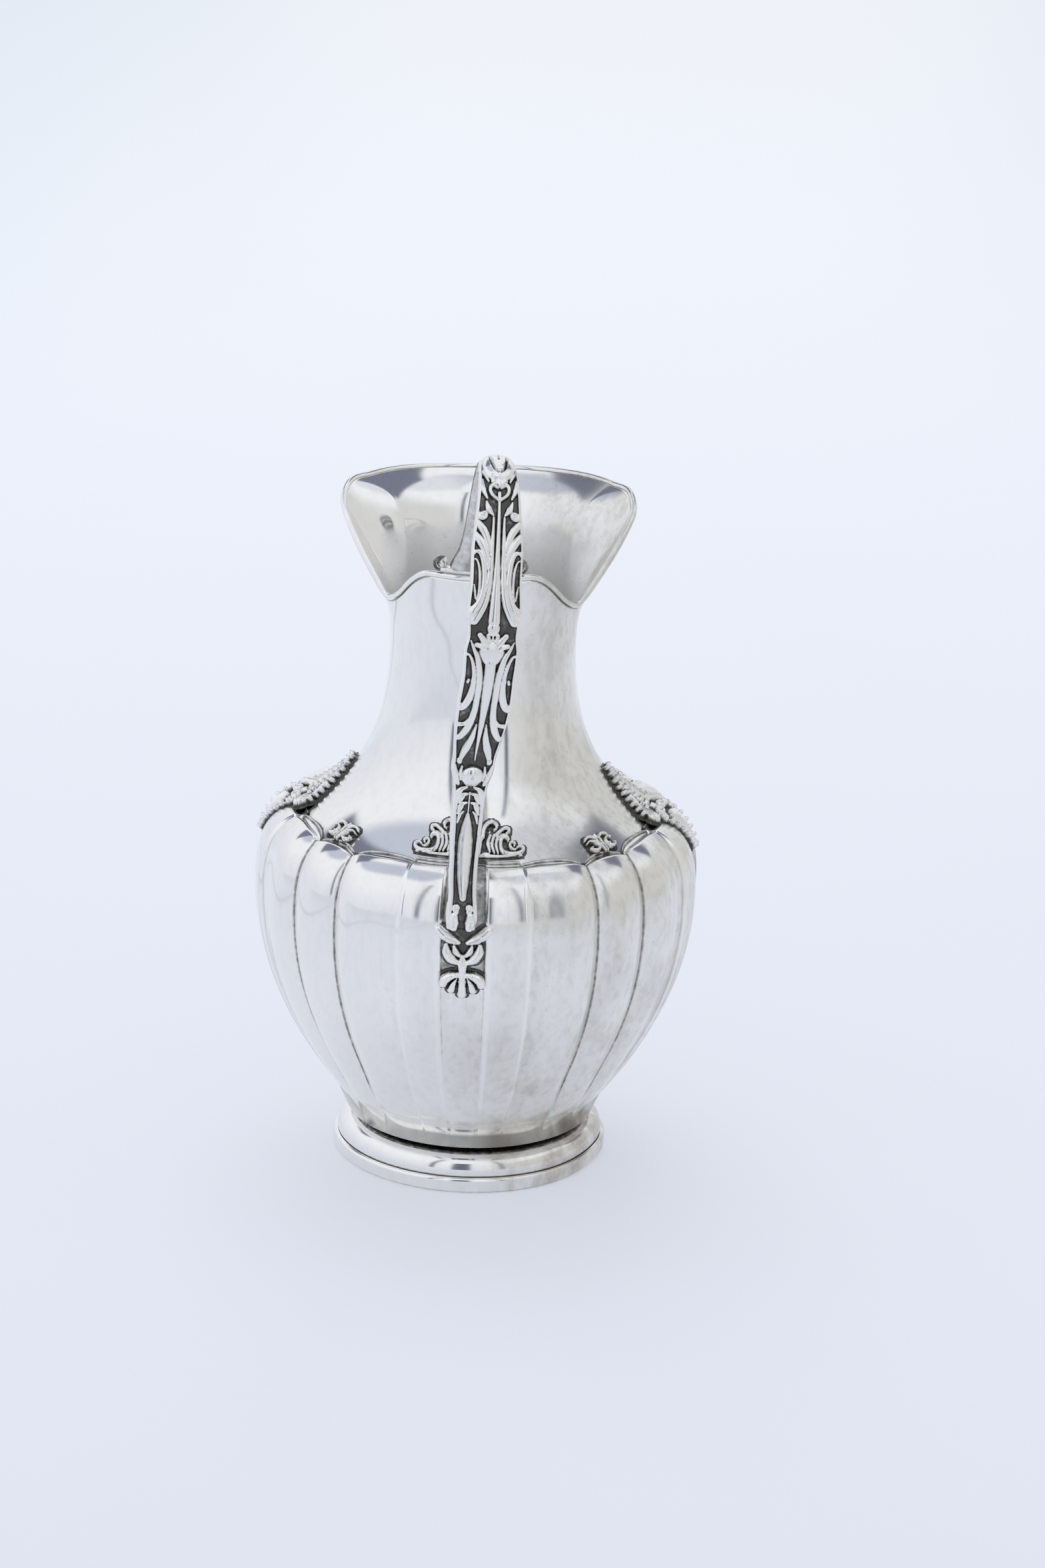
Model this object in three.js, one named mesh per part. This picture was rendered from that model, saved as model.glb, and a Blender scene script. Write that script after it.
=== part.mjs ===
// A silver water jug: a lobed bowl on a moulded foot, a flared neck with a half-funnel mouth,
// a cast strap handle and cast ornaments soldered over the shoulder seam.
// Millimetres, +Z up. Angles go round the vessel in degrees from the handle, which points to -Y.
import * as THREE from 'three';

// Sheet and solder
const SHEET = 0.9;
const SOLDER_GAP = 0.35;
const SEAM_LAP = 2;
const SKIRT_SPARE = 0.3;

// Foot: a spun moulding under the collar, standing on a heavy wire
const FOOT_HEIGHT = 13;
const FOOT_SHEET = 1;
const FLANGE_WIDTH = 6;
const MOULDING_REACH = 7;
const OVOLO_DROP = 0.85;
const FOOT_WIRE_PROUD = 1.3;
const FOOT_WIRE_HEIGHT = 5.7;
const FOOT_WIRE_WIDTH = 3.7;
const FOOT_WIRE_ROUND = 1.1;

// Bowl: a collar on the foot, a parabola up to the belly, then a rounded turn in to the scalloped edge
const COLLAR_RADIUS = 40;
const COLLAR_HEIGHT = 7.65;
const COLLAR_RISE = 1.2;
const COLLAR_FLARE = 4.5;
const COLLAR_BEND = [0.72, 0.45];
const BOTTOM_INSET = 3;
const BELLY_RADIUS = 77.6;
const FLANK_HEIGHT = 79.5;
const TURN_HEIGHT = 26;
const TURN_POWER = 2.3;
const TURN_INSET = 3.5;
const EDGE_INSET = 14.1;
const EDGE_SETTLE = 0.75;

// Lobes: four equal groups, each a recessed panel, two bands, two wide lobes and a corner lobe
const LOBE_GROUPS = 4;
const PANEL_EDGE = 5.6;
const PANEL_DEPTH = 1.8;
const PANEL_STEP = 0.8;
const BAND_EDGE = 16.9;
const BAND_SAG = 0.35;
const HOLLOW_DEPTH = 1.1;
const HOLLOW_START = 0.2;
const LOBE_CREST = 0.65;
const CORNER_LOBE = 7.5;
const CREASE_DEPTH = 3;
const LOBE_DROP = 2;
const LOBE_RISE = 28;
const EDGE_DIP = 1.5;
const CUSP_REACH = 4.2;
const CORNER_REACH = 1.5;

// Shoulder and neck: one sweep from the skirt under the bowl's edge up to the waist
const SEAM_DROP = 5.3;
const SHOULDER_SLOPE = 24.7;
const SHOULDER_PULL = 26.4;
const NECK_RADIUS = 32;
const NECK_HEIGHT = 65.8;
const NECK_PULL = 38.5;

// Mouth: a half funnel in front and a low waved edge behind, with a notch on each side
const FLARE_RISE = 12.2;
const FLARE_SLOPE = 0.6;
const FLARE_SOFTNESS = 3;
const REAR_FLARE = 0.215;
const FLARE_BLEND = 18;
const REAR_RIM_RISE = 17.6;
const NOTCH_RIM_RISE = 3.5;
const FRONT_RIM_RISE = 36.8;
const PLATEAU_MARGIN = 1.25;
const NOTCH_ANGLE = 70;
const FUNNEL_ANGLE = 116;
const RIM_EASING = 1.75;
const RIM_ROUNDING = 2.4;
const LIP_LEAN = 3.2;
const LIP_REACH = 13.2;
const LIP_TURN = 5;
const LIP_START = 100;
const LIP_FULL = 122;
const LIP_DROP = 1.2;
const LIP_HALF_WIDTH = 60;
const RIM_WIRE_RADIUS = 1.1;

// Handle, with the plate it stands on at the rim and the mount that ends it on the bowl
const HANDLE_BOW = 41;
const HANDLE_SWAY = 10;
const HANDLE_THICKNESS = 5.5;
const HANDLE_ROOT_WIDTH = 22;
const HANDLE_NECK_WIDTH = 13;
const HANDLE_CREST_WIDTH = 11.5;
const HANDLE_GRIP_WIDTH = 17;
const HANDLE_BOSS_WIDTH = 13;
const HANDLE_STEM_WIDTH = 8;
const HANDLE_DROP_WIDTH = 12;
const RIM_PLATE_BORDER = 0.25;
const RIM_PLATE_THICKNESS = 1.8;
const VOLUTE_HEIGHT = 4;
const VOLUTE_LENGTH = 5;
const MOUNT_RISE = 10;
const MOUNT_LENGTH = 27;
const MOUNT_WING_WIDTH = 18;
const MOUNT_WAIST_WIDTH = 11;
const MOUNT_FLEUR_WIDTH = 12;
const MOUNT_THICKNESS = 3;
const MOUNT_BACKING = 1.5;

// Cast ornaments on the shoulder
const PLAQUE_WIDTH = 27;
const PLAQUE_CLIMB = 19.5;
const PLAQUE_RISE = 9.5;
const PLAQUE_THICKNESS = 4;
const CREST_WIDTH = 37;
const CREST_CLIMB = 11;
const CREST_THICKNESS = 3;
const SPRAY_WIDTH = 13;
const SPRAY_CLIMB = 9.5;
const SPRAY_THICKNESS = 3;
const CASTING_EDGE = 1.2;
const CASTING_FOOT = 2;
const CASTING_TIP = 0.06;

// Finish of the worked sheet and of the castings
const POLISHED = 0.17;
const CAST = 0.3;

// Number of flats round each turned or drawn piece
const FOOT_SEGMENTS = 44;
const RIM_WIRE_SIDES = 8;
const HANDLE_STEPS = 36;

const { lerp, clamp, smoothstep, degToRad, radToDeg } = THREE.MathUtils;

// Heights of the stack, from the foot up
const bottomHeight = FOOT_HEIGHT + SOLDER_GAP;
const baseHeight = bottomHeight + COLLAR_HEIGHT;
const bellyHeight = baseHeight + FLANK_HEIGHT;
const turnTop = bellyHeight + TURN_HEIGHT;
const shoulderFoot = turnTop - SEAM_DROP;
const neckTop = shoulderFoot + NECK_HEIGHT;
const flareStart = neckTop + FLARE_RISE;
const rearRim = flareStart + REAR_RIM_RISE;
const notchRim = flareStart + NOTCH_RIM_RISE;
const frontRim = flareStart + FRONT_RIM_RISE;
const mountTop = bellyHeight + MOUNT_RISE;

// Radii that follow the collar and the belly
const baseRadius = COLLAR_RADIUS + COLLAR_FLARE;
const mouldingRadius = COLLAR_RADIUS + MOULDING_REACH;
const flangeRadius = COLLAR_RADIUS - FLANGE_WIDTH;
const footWireRadius = mouldingRadius + FOOT_WIRE_PROUD;
const seamRadius = BELLY_RADIUS - EDGE_INSET;
const turnRadius = seamRadius - TURN_INSET;
const cornerRadius = seamRadius + CORNER_REACH;
const cuspRadius = seamRadius + CUSP_REACH;
const skirtRadius = cuspRadius + SEAM_LAP + SKIRT_SPARE;

// Angles of a lobe group, from its centre line
const CORNER = 180 / LOBE_GROUPS;
const CREASE = CORNER - CORNER_LOBE;

// A point at a radius and height on the meridian at an angle from the handle.
function onVessel(radius, height, angle) {
  const turn = degToRad(angle);
  return new THREE.Vector3(radius * Math.sin(turn), -radius * Math.cos(turn), height);
}

// A closed body through rings of points, each joined to the next, with capped ends unless the rings close.
function joinRings(rings, closed = false) {
  const sides = rings[0].length;
  const points = rings.flat();
  const faces = [];
  const joins = closed ? rings.length : rings.length - 1;
  for (let i = 0; i < joins; i++) {
    const here = i * sides;
    const next = ((i + 1) % rings.length) * sides;
    for (let j = 0; j < sides; j++) {
      const k = (j + 1) % sides;
      faces.push([here + j, next + j, next + k], [here + j, next + k, here + k]);
    }
  }
  if (!closed) {
    const last = (rings.length - 1) * sides;
    const [first, final] = [rings[0], rings[rings.length - 1]].map((ring) => {
      const sum = ring.reduce((total, point) => total.add(point), new THREE.Vector3());
      return points.push(sum.divideScalar(sides)) - 1;
    });
    for (let j = 0; j < sides; j++) {
      const k = (j + 1) % sides;
      faces.push([first, j, k], [final, last + k, last + j]);
    }
  }
  const volume = faces.reduce((sum, [a, b, c]) => {
    return sum + points[a].dot(new THREE.Vector3().crossVectors(points[b], points[c]));
  }, 0);
  const outward = volume > 0 ? faces : faces.map(([a, b, c]) => [a, c, b]);
  const geometry = new THREE.BufferGeometry().setFromPoints(points);
  geometry.setIndex(outward.flat());
  geometry.computeVertexNormals();
  return geometry;
}

const jug = new THREE.Group();

// Adds one sub-part in silver, polished or left duller by casting.
function addPiece(name, geometry, roughness) {
  const material = new THREE.MeshStandardMaterial({ color: 0xcfccc4, roughness, metalness: 1 });
  const mesh = new THREE.Mesh(geometry, material);
  mesh.name = name;
  jug.add(mesh);
}

// Shoulder
const slope = degToRad(SHOULDER_SLOPE);
const shoulderCurve = new THREE.CubicBezierCurve(
  new THREE.Vector2(skirtRadius, shoulderFoot),
  new THREE.Vector2(
    skirtRadius - SHOULDER_PULL * Math.cos(slope),
    shoulderFoot + SHOULDER_PULL * Math.sin(slope),
  ),
  new THREE.Vector2(NECK_RADIUS, neckTop - NECK_PULL),
  new THREE.Vector2(NECK_RADIUS, neckTop),
);

// Outward normal of a profile whose tangent runs up.
function outwardNormal(tangent) {
  return new THREE.Vector2(tangent.y, -tangent.x).normalize();
}

// Place on the shoulder curve, from 0 at the skirt to 1 at the waist, where it has a radius.
function shoulderPlace(radius) {
  let low = 0;
  let high = 1;
  for (let step = 0; step < 40; step++) {
    const middle = (low + high) / 2;
    if (shoulderCurve.getPoint(middle).x > radius) low = middle;
    else high = middle;
  }
  return low;
}

// Height of the shoulder at a radius, running straight on outside the skirt.
function shoulderHeight(radius) {
  const outside = Math.max(0, radius - skirtRadius);
  return shoulderCurve.getPoint(shoulderPlace(radius)).y - outside * Math.tan(slope);
}

// Lobes

// Angle from the centre line of the nearest lobe group.
function groupAngle(angle) {
  return Math.abs(angle - 2 * CORNER * Math.round(angle / (2 * CORNER)));
}

// Radius of the bowl's scalloped upper edge.
function edgeRadius(angle) {
  const a = groupAngle(angle);
  if (a < BAND_EDGE) return seamRadius;
  if (a < CREASE) {
    const t = (a - BAND_EDGE) / (CREASE - BAND_EDGE);
    return seamRadius + EDGE_DIP * (1 - t) ** 3 + (cuspRadius - seamRadius) * t ** 6;
  }
  return lerp(cornerRadius, cuspRadius, ((CORNER - a) / (CORNER - CREASE)) ** 2);
}

// Depth of the lobed surface below the crowns.
function lobeDepth(angle) {
  const a = groupAngle(angle);
  if (a < PANEL_EDGE) return PANEL_DEPTH;
  if (a < BAND_EDGE) {
    const middle = (PANEL_EDGE + BAND_EDGE) / 2;
    return BAND_SAG * ((a - middle) / (BAND_EDGE - middle)) ** 2;
  }
  if (a < CREASE) {
    const t = (a - BAND_EDGE) / (CREASE - BAND_EDGE);
    const fall = Math.max(0, (t - LOBE_CREST) / (1 - LOBE_CREST));
    return HOLLOW_DEPTH * (1 - smoothstep(t, HOLLOW_START, LOBE_CREST)) + CREASE_DEPTH * fall ** 2;
  }
  return CREASE_DEPTH * ((CORNER - a) / (CORNER - CREASE)) ** 2;
}

// Bowl

// Crown profile and its normal on the flank, below the belly.
function crownFlank(height) {
  const span = bellyHeight - baseHeight;
  const swell = BELLY_RADIUS - baseRadius;
  const down = (bellyHeight - height) / span;
  const point = new THREE.Vector2(BELLY_RADIUS - swell * down ** 2, height);
  return { point, normal: outwardNormal(new THREE.Vector2((2 * swell * down) / span, 1)) };
}

// Crown profile and its normal on the turn above the belly: turn 0 is the belly, 90 the top.
function crownTurn(turn) {
  const t = degToRad(turn);
  const reach = BELLY_RADIUS - turnRadius;
  const rise = turnTop - bellyHeight;
  const bend = 2 / TURN_POWER;
  const point = new THREE.Vector2(
    turnRadius + reach * Math.cos(t) ** bend,
    bellyHeight + rise * Math.sin(t) ** bend,
  );
  const normal = new THREE.Vector2(Math.cos(t) ** (2 - bend) / reach, Math.sin(t) ** (2 - bend) / rise);
  return { point, normal: normal.normalize() };
}

// Turn at which the crown profile has a radius.
function turnAtRadius(radius) {
  const share = (radius - turnRadius) / (BELLY_RADIUS - turnRadius);
  return radToDeg(Math.acos(share ** (TURN_POWER / 2)));
}

// Turn at which the crown profile has a height.
function turnAtHeight(height) {
  const share = (height - bellyHeight) / (turnTop - bellyHeight);
  return radToDeg(Math.asin(share ** (TURN_POWER / 2)));
}

function crownAt(height) {
  return height > bellyHeight ? crownTurn(turnAtHeight(height)) : crownFlank(height);
}

// Outer and inner points of the sheet on the flank. The lobes fade out towards the collar.
function bowlFlank(height, angle) {
  const { point, normal } = crownFlank(height);
  const fade = smoothstep(height, baseHeight - LOBE_DROP, baseHeight + LOBE_RISE);
  const outer = point.clone().addScaledVector(normal, -lobeDepth(angle) * fade);
  return { outer, inner: outer.clone().addScaledVector(normal, -SHEET) };
}

// Outer and inner points of the sheet on the turn, at a share of the way from the belly to the edge.
// Near the edge the sheet settles on the shoulder that runs under it.
function bowlTurn(share, angle) {
  const edge = edgeRadius(angle);
  const { point, normal } = crownTurn(share * turnAtRadius(edge));
  const settled = smoothstep(share, EDGE_SETTLE, 1);
  const outer = point.clone().addScaledVector(normal, -lobeDepth(angle) * (1 - settled));
  const inner = outer.clone().addScaledVector(normal, -SHEET);
  const seat = shoulderHeight(inner.x) + SOLDER_GAP;
  const overSkirt = inner.x < edge + 2 * SEAM_LAP;
  const lift = overSkirt ? Math.max(0, seat - inner.y) : 0;
  const sink = lobeDepth(angle) * settled;
  const move = lift > 0 ? lift : -Math.min(sink, Math.max(0, inner.y - seat));
  outer.y += move;
  inner.y += move;
  return { outer, inner };
}

const halfGroup = [
  0,
  PANEL_EDGE - PANEL_STEP / 2,
  PANEL_EDGE + PANEL_STEP / 2,
  (PANEL_EDGE + BAND_EDGE) / 2,
  ...[0, 0.25, 0.55, 0.82].map((share) => lerp(BAND_EDGE, CREASE, share)),
  CREASE,
  (CREASE + CORNER) / 2,
  CORNER,
];
const wholeGroup = [...halfGroup, ...halfGroup.slice(1, -1).map((a) => 2 * CORNER - a).reverse()];
const lobeAngles = Array.from({ length: LOBE_GROUPS }, (_, group) => {
  return wholeGroup.map((a) => a + 2 * CORNER * group);
}).flat();

const [bendOut, bendUp] = COLLAR_BEND;
const collar = [
  new THREE.Vector2(COLLAR_RADIUS - BOTTOM_INSET, bottomHeight),
  new THREE.Vector2(COLLAR_RADIUS, bottomHeight + COLLAR_RISE),
  new THREE.Vector2(
    lerp(COLLAR_RADIUS, baseRadius, bendOut),
    lerp(bottomHeight + COLLAR_RISE, baseHeight, bendUp),
  ),
];
const collarRows = collar.map((outer) => {
  return () => ({ outer, inner: new THREE.Vector2(outer.x - SHEET / 2, outer.y + SHEET) });
});
const flankRows = [0, 0.12, 0.3, 0.52, 0.76, 1].map((share) => {
  return (angle) => bowlFlank(lerp(baseHeight, bellyHeight, share), angle);
});
const turnRows = [0.3, 0.55, 0.76, 0.9, 1].map((share) => (angle) => bowlTurn(share, angle));
const bowlRows = [...collarRows, ...flankRows, ...turnRows];
const bowlSide = (row, side) => lobeAngles.map((angle) => {
  const point = row(angle)[side];
  return onVessel(point.x, point.y, angle);
});
const bowlOutside = bowlRows.map((row) => bowlSide(row, 'outer'));
const bowlInside = bowlRows.map((row) => bowlSide(row, 'inner')).reverse();
addPiece('bowl', joinRings([...bowlOutside, ...bowlInside]), POLISHED);

// Neck and mouth

// Angle from the handle on the nearer side, 0 to 180.
function sideAngle(angle) {
  return Math.abs(angle - 360 * Math.round(angle / 360));
}

function lipShare(angle) {
  return smoothstep(sideAngle(angle), 180 - LIP_HALF_WIDTH, 180);
}

// The sides of the mouth open as a cone. The front rises steeply and turns out at the lip.
function mouthRadius(height, angle) {
  const above = (height - flareStart) / FLARE_SOFTNESS;
  const rise = FLARE_SOFTNESS * Math.log(1 + Math.exp(above));
  const climb = rise / (frontRim - flareStart);
  const a = sideAngle(angle);
  const share = smoothstep(a, NOTCH_ANGLE - FLARE_BLEND, NOTCH_ANGLE + FLARE_BLEND / 2);
  const sides = FLARE_SLOPE * rise * lerp(REAR_FLARE, 1, share);
  const front = LIP_LEAN * climb + LIP_REACH * climb ** LIP_TURN;
  return NECK_RADIUS + lerp(sides, front, smoothstep(a, LIP_START, LIP_FULL));
}

// Half the span of the handle's plate, and half the angle of the level rim under it
const plateReach = HANDLE_ROOT_WIDTH / 2 + VOLUTE_LENGTH;
const rearPlateau = radToDeg(plateReach / mouthRadius(rearRim, 0)) + PLATEAU_MARGIN;

function rimHeight(angle) {
  const a = sideAngle(angle);
  if (a < NOTCH_ANGLE) {
    return lerp(rearRim, notchRim, smoothstep(a, rearPlateau, NOTCH_ANGLE));
  }
  const climb = clamp((a - NOTCH_ANGLE) / (FUNNEL_ANGLE - NOTCH_ANGLE), 0, 1);
  const rounded = 1 - (1 - climb ** RIM_EASING) ** RIM_ROUNDING;
  return lerp(notchRim, frontRim, rounded) - LIP_DROP * lipShare(angle);
}

// One wall of sheet from its outer profile, as points and normals: up the outside and down the inside.
function sheetSection(profile) {
  const outside = profile.map(({ point }) => point);
  const inside = profile.map(({ point, normal }) => point.clone().addScaledVector(normal, -SHEET));
  return [...outside, ...inside.reverse()];
}

function neckProfile(angle) {
  const edge = edgeRadius(angle);
  const seam = shoulderPlace(edge - SEAM_LAP);
  const places = [shoulderPlace(edge + SEAM_LAP), seam];
  for (const share of [0.16, 0.3, 0.42, 0.54, 0.68, 0.84, 1]) places.push(lerp(seam, 1, share));
  const shoulder = places.map((place) => {
    const normal = outwardNormal(shoulderCurve.getTangent(place));
    return { point: shoulderCurve.getPoint(place), normal };
  });
  const mouth = [0.28, 0.5, 0.68, 0.82, 0.92, 1].map((share) => {
    const height = lerp(neckTop, rimHeight(angle), share);
    const radius = mouthRadius(height, angle);
    const tangent = new THREE.Vector2(mouthRadius(height + SHEET, angle) - radius, SHEET);
    return { point: new THREE.Vector2(radius, height), normal: outwardNormal(tangent) };
  });
  return [...shoulder, ...mouth];
}

const rearAngles = [0, 0.3, 0.6, 0.85, 1].map((share) => share * rearPlateau);
const waveAngles = [0.18, 0.36, 0.54, 0.7, 0.85, 0.95, 1].map((share) => {
  return lerp(rearPlateau, NOTCH_ANGLE, share);
});
const climbAngles = [0.12, 0.26, 0.4, 0.52, 0.62, 0.71, 0.8, 0.9, 1].map((share) => {
  return lerp(NOTCH_ANGLE, FUNNEL_ANGLE, share);
});
const frontAngles = [0.1, 0.2, 0.3, 0.4, 0.5, 0.6, 0.7, 0.8, 0.9, 1].map((share) => {
  return lerp(FUNNEL_ANGLE, 180, share);
});
const rightAngles = [...rearAngles, ...waveAngles, ...climbAngles, ...frontAngles];
const leftAngles = rightAngles.slice(1, -1).map((angle) => 360 - angle).reverse();
const neckAngles = [...rightAngles, ...leftAngles];

const neckSections = neckAngles.map((angle) => {
  return sheetSection(neckProfile(angle)).map((point) => onVessel(point.x, point.y, angle));
});
addPiece('neck', joinRings(neckSections, true), POLISHED);

// Rim wire: seated on the cut edge of the mouth, square to the edge in the plane of the sheet
const rimEdge = neckSections.map((section) => {
  const top = section.length / 2;
  const middle = section[top - 1].clone().add(section[top]).divideScalar(2);
  const outward = section[top - 1].clone().sub(section[top]).normalize();
  return { middle, outward };
});
const wireTurns = Array.from({ length: RIM_WIRE_SIDES }, (_, side) => {
  return (2 * Math.PI * side) / RIM_WIRE_SIDES;
});
const wireRings = rimEdge.map(({ middle, outward }, i) => {
  const before = rimEdge[(i + rimEdge.length - 1) % rimEdge.length].middle;
  const after = rimEdge[(i + 1) % rimEdge.length].middle;
  const arriving = middle.clone().sub(before).normalize();
  const leaving = after.clone().sub(middle).normalize();
  const along = arriving.clone().add(leaving).normalize();
  const mitre = 1 / along.dot(leaving);
  const offEdge = new THREE.Vector3().crossVectors(outward, along).normalize();
  const across = new THREE.Vector3().crossVectors(along, offEdge);
  const centre = middle.clone().addScaledVector(offEdge, (RIM_WIRE_RADIUS + SOLDER_GAP) * mitre);
  return wireTurns.map((turn) => {
    return centre.clone()
      .addScaledVector(offEdge, RIM_WIRE_RADIUS * Math.cos(turn))
      .addScaledVector(across, RIM_WIRE_RADIUS * Math.sin(turn));
  });
});
addPiece('rim_wire', joinRings(wireRings, true), POLISHED);

// Foot

// A ring of one section all round the axis.
function turnedRing(section) {
  const profile = [...section, section[0]].map(([radius, height]) => new THREE.Vector2(radius, height));
  return new THREE.LatheGeometry(profile, FOOT_SEGMENTS).rotateX(Math.PI / 2);
}

const mouldingFoot = FOOT_WIRE_HEIGHT + SOLDER_GAP;
const mouldingDrop = FOOT_HEIGHT - mouldingFoot;
const ovolo = [90, 65, 40, 15, -10].map((turn) => {
  const t = degToRad(turn);
  const drop = Math.min(mouldingDrop, mouldingDrop * OVOLO_DROP * (1 - Math.sin(t)));
  return [COLLAR_RADIUS + MOULDING_REACH * Math.cos(t), FOOT_HEIGHT - drop];
});
const mouldingOutside = [
  [flangeRadius, FOOT_HEIGHT],
  ...ovolo,
  [mouldingRadius - FOOT_SHEET, mouldingFoot],
];
const mouldingInside = [
  [mouldingRadius - 2 * FOOT_SHEET, mouldingFoot],
  ...ovolo.slice(0, 4).map(([radius, height]) => [radius - FOOT_SHEET, height - FOOT_SHEET]).reverse(),
  [flangeRadius, FOOT_HEIGHT - FOOT_SHEET],
];
addPiece('foot_ring', turnedRing([...mouldingOutside, ...mouldingInside].reverse()), POLISHED);

const wireInside = footWireRadius - FOOT_WIRE_WIDTH;
const footWire = [
  [wireInside, 0],
  [footWireRadius - FOOT_WIRE_ROUND, 0],
  [footWireRadius - 0.2 * FOOT_WIRE_ROUND, FOOT_WIRE_ROUND],
  [footWireRadius, FOOT_WIRE_HEIGHT / 2],
  [footWireRadius - 0.3 * FOOT_WIRE_ROUND, FOOT_WIRE_HEIGHT - FOOT_WIRE_ROUND],
  [footWireRadius - 1.2 * FOOT_WIRE_ROUND, FOOT_WIRE_HEIGHT],
  [wireInside, FOOT_WIRE_HEIGHT],
];
addPiece('foot_wire', turnedRing(footWire), POLISHED);

// Value at a place between knots, each a place and a value.
function between(knots, place) {
  const after = Math.max(1, knots.findIndex(([at]) => at >= place));
  const [lowPlace, low] = knots[after - 1];
  const [highPlace, high] = knots[after];
  return lerp(low, high, (place - lowPlace) / (highPlace - lowPlace));
}

// Handle rim plate: a saddle on the level stretch of the rim wire, with a volute at each end
const rimRadius = -rimEdge[0].middle.y;
const plateBottom = rimEdge[0].middle.z + 2 * (RIM_WIRE_RADIUS + SOLDER_GAP);
const plateTop = plateBottom + RIM_PLATE_THICKNESS;
const volute = [[0, 0], [0.15, 0], [0.45, 0.8], [0.75, 1], [1, 0.6]];
const voluteRings = volute.map(([share, curl]) => [plateReach - (1 - share) * VOLUTE_LENGTH, curl]);
const rightRings = [[plateReach / 3, 0], ...voluteRings];
const leftRings = rightRings.map(([reach, curl]) => [-reach, curl]).reverse();
const plateRings = [...leftRings, [0, 0], ...rightRings].map(([reach, curl]) => {
  const angle = radToDeg(reach / rimRadius);
  const rise = lerp(RIM_PLATE_THICKNESS, VOLUTE_HEIGHT, curl);
  const half = HANDLE_THICKNESS / 2 + RIM_PLATE_BORDER;
  const section = [[-half, 0], [half, 0], [half, 0.6], [half / 2, 1], [-half / 2, 1], [-half, 0.6]];
  return section.map(([out, up]) => onVessel(rimRadius + out, plateBottom + up * rise, angle));
});
addPiece('handle_rim_plate', joinRings(plateRings), CAST);

// Handle lower mount: a leaf and fleur seated in the recessed panel, with wings over the bands beside it
const mountWidths = [
  [0, HANDLE_DROP_WIDTH],
  [0.12, MOUNT_WING_WIDTH],
  [0.24, 0.8 * MOUNT_WING_WIDTH],
  [0.36, MOUNT_WAIST_WIDTH],
  [0.5, MOUNT_WAIST_WIDTH],
  [0.62, MOUNT_WAIST_WIDTH / 2],
  [0.78, MOUNT_FLEUR_WIDTH],
  [0.88, 0.7 * MOUNT_FLEUR_WIDTH],
  [1, 0.2 * MOUNT_FLEUR_WIDTH],
];
const mountHead = HANDLE_THICKNESS + MOUNT_BACKING;
const mountHeads = [
  [0, mountHead],
  [0.14, 0.8 * mountHead],
  [0.3, MOUNT_THICKNESS],
  [0.85, MOUNT_THICKNESS],
  [1, CASTING_EDGE],
];

// Seat of the mount under an angle: the panel, or just over the bands.
function mountSeat(height, angle) {
  const { point, normal } = crownAt(height);
  const sunk = Math.abs(angle) < PANEL_EDGE - PANEL_STEP ? PANEL_DEPTH : -2 * SOLDER_GAP;
  return { seat: point.clone().addScaledVector(normal, SOLDER_GAP - sunk), normal };
}

const mountRings = mountWidths.map(([share, width]) => {
  const height = mountTop - share * MOUNT_LENGTH;
  const thickness = between(mountHeads, share);
  const columns = [-1, -0.5, 0, 0.5, 1].map((across) => {
    const angle = radToDeg((across * width) / 2 / crownAt(height).point.x);
    const { seat, normal } = mountSeat(height, angle);
    const edge = Math.max(CASTING_EDGE, thickness / 2);
    const front = seat.clone().addScaledVector(normal, lerp(thickness, edge, Math.abs(across)));
    return [seat, front].map((point) => onVessel(point.x, share > 0 ? point.y : mountTop, angle));
  });
  return [...columns.map(([back]) => back), ...columns.map(([, front]) => front).reverse()];
});
addPiece('handle_lower_mount', joinRings(mountRings), CAST);

// Handle: a strap bowed out from the chord between rim plate and mount, and swayed to one side
const handleRoot = onVessel(rimRadius, plateTop + SOLDER_GAP, 0);
const headRadius = mountSeat(mountTop, 0).seat.x + mountHead - HANDLE_THICKNESS / 2;
const handleEnd = onVessel(headRadius, mountTop + SOLDER_GAP, 0);
const chord = handleEnd.clone().sub(handleRoot);
const sideways = new THREE.Vector3(1, 0, 0);
const bowDirection = new THREE.Vector3().crossVectors(chord, sideways).normalize();
bowDirection.applyAxisAngle(chord.clone().normalize(), degToRad(-HANDLE_SWAY));
const acrossStrap = new THREE.Vector3().crossVectors(chord, bowDirection).normalize();

// The bow, as shares of the chord and of the bow's reach
const handleBow = [
  [0, 0],
  [-0.13, 0.244],
  [-0.228, 0.5],
  [-0.249, 0.732],
  [-0.178, 0.927],
  [-0.022, 1],
  [0.139, 1],
  [0.279, 0.902],
  [0.413, 0.707],
  [0.527, 0.488],
  [0.621, 0.324],
  [0.715, 0.224],
  [0.846, 0.132],
  [0.947, 0.0732],
  [1, 0],
];
const handleLine = new THREE.CatmullRomCurve3(handleBow.map(([share, reach]) => {
  return handleRoot.clone().addScaledVector(chord, share).addScaledVector(bowDirection, reach * HANDLE_BOW);
}));
const handleWidths = [
  [0, HANDLE_ROOT_WIDTH],
  [0.02, lerp(HANDLE_NECK_WIDTH, HANDLE_ROOT_WIDTH, 0.35)],
  [0.06, HANDLE_NECK_WIDTH],
  [0.2, HANDLE_CREST_WIDTH],
  [0.32, lerp(HANDLE_CREST_WIDTH, HANDLE_GRIP_WIDTH, 0.7)],
  [0.42, HANDLE_GRIP_WIDTH],
  [0.6, HANDLE_GRIP_WIDTH],
  [0.77, HANDLE_BOSS_WIDTH],
  [0.84, lerp(HANDLE_BOSS_WIDTH, HANDLE_STEM_WIDTH, 0.6)],
  [0.92, HANDLE_STEM_WIDTH],
  [1, HANDLE_DROP_WIDTH],
];
const handleCrown = [[0, 1], [0.15, 1], [0.21, 1.35], [0.27, 1], [1, 1]];
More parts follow.
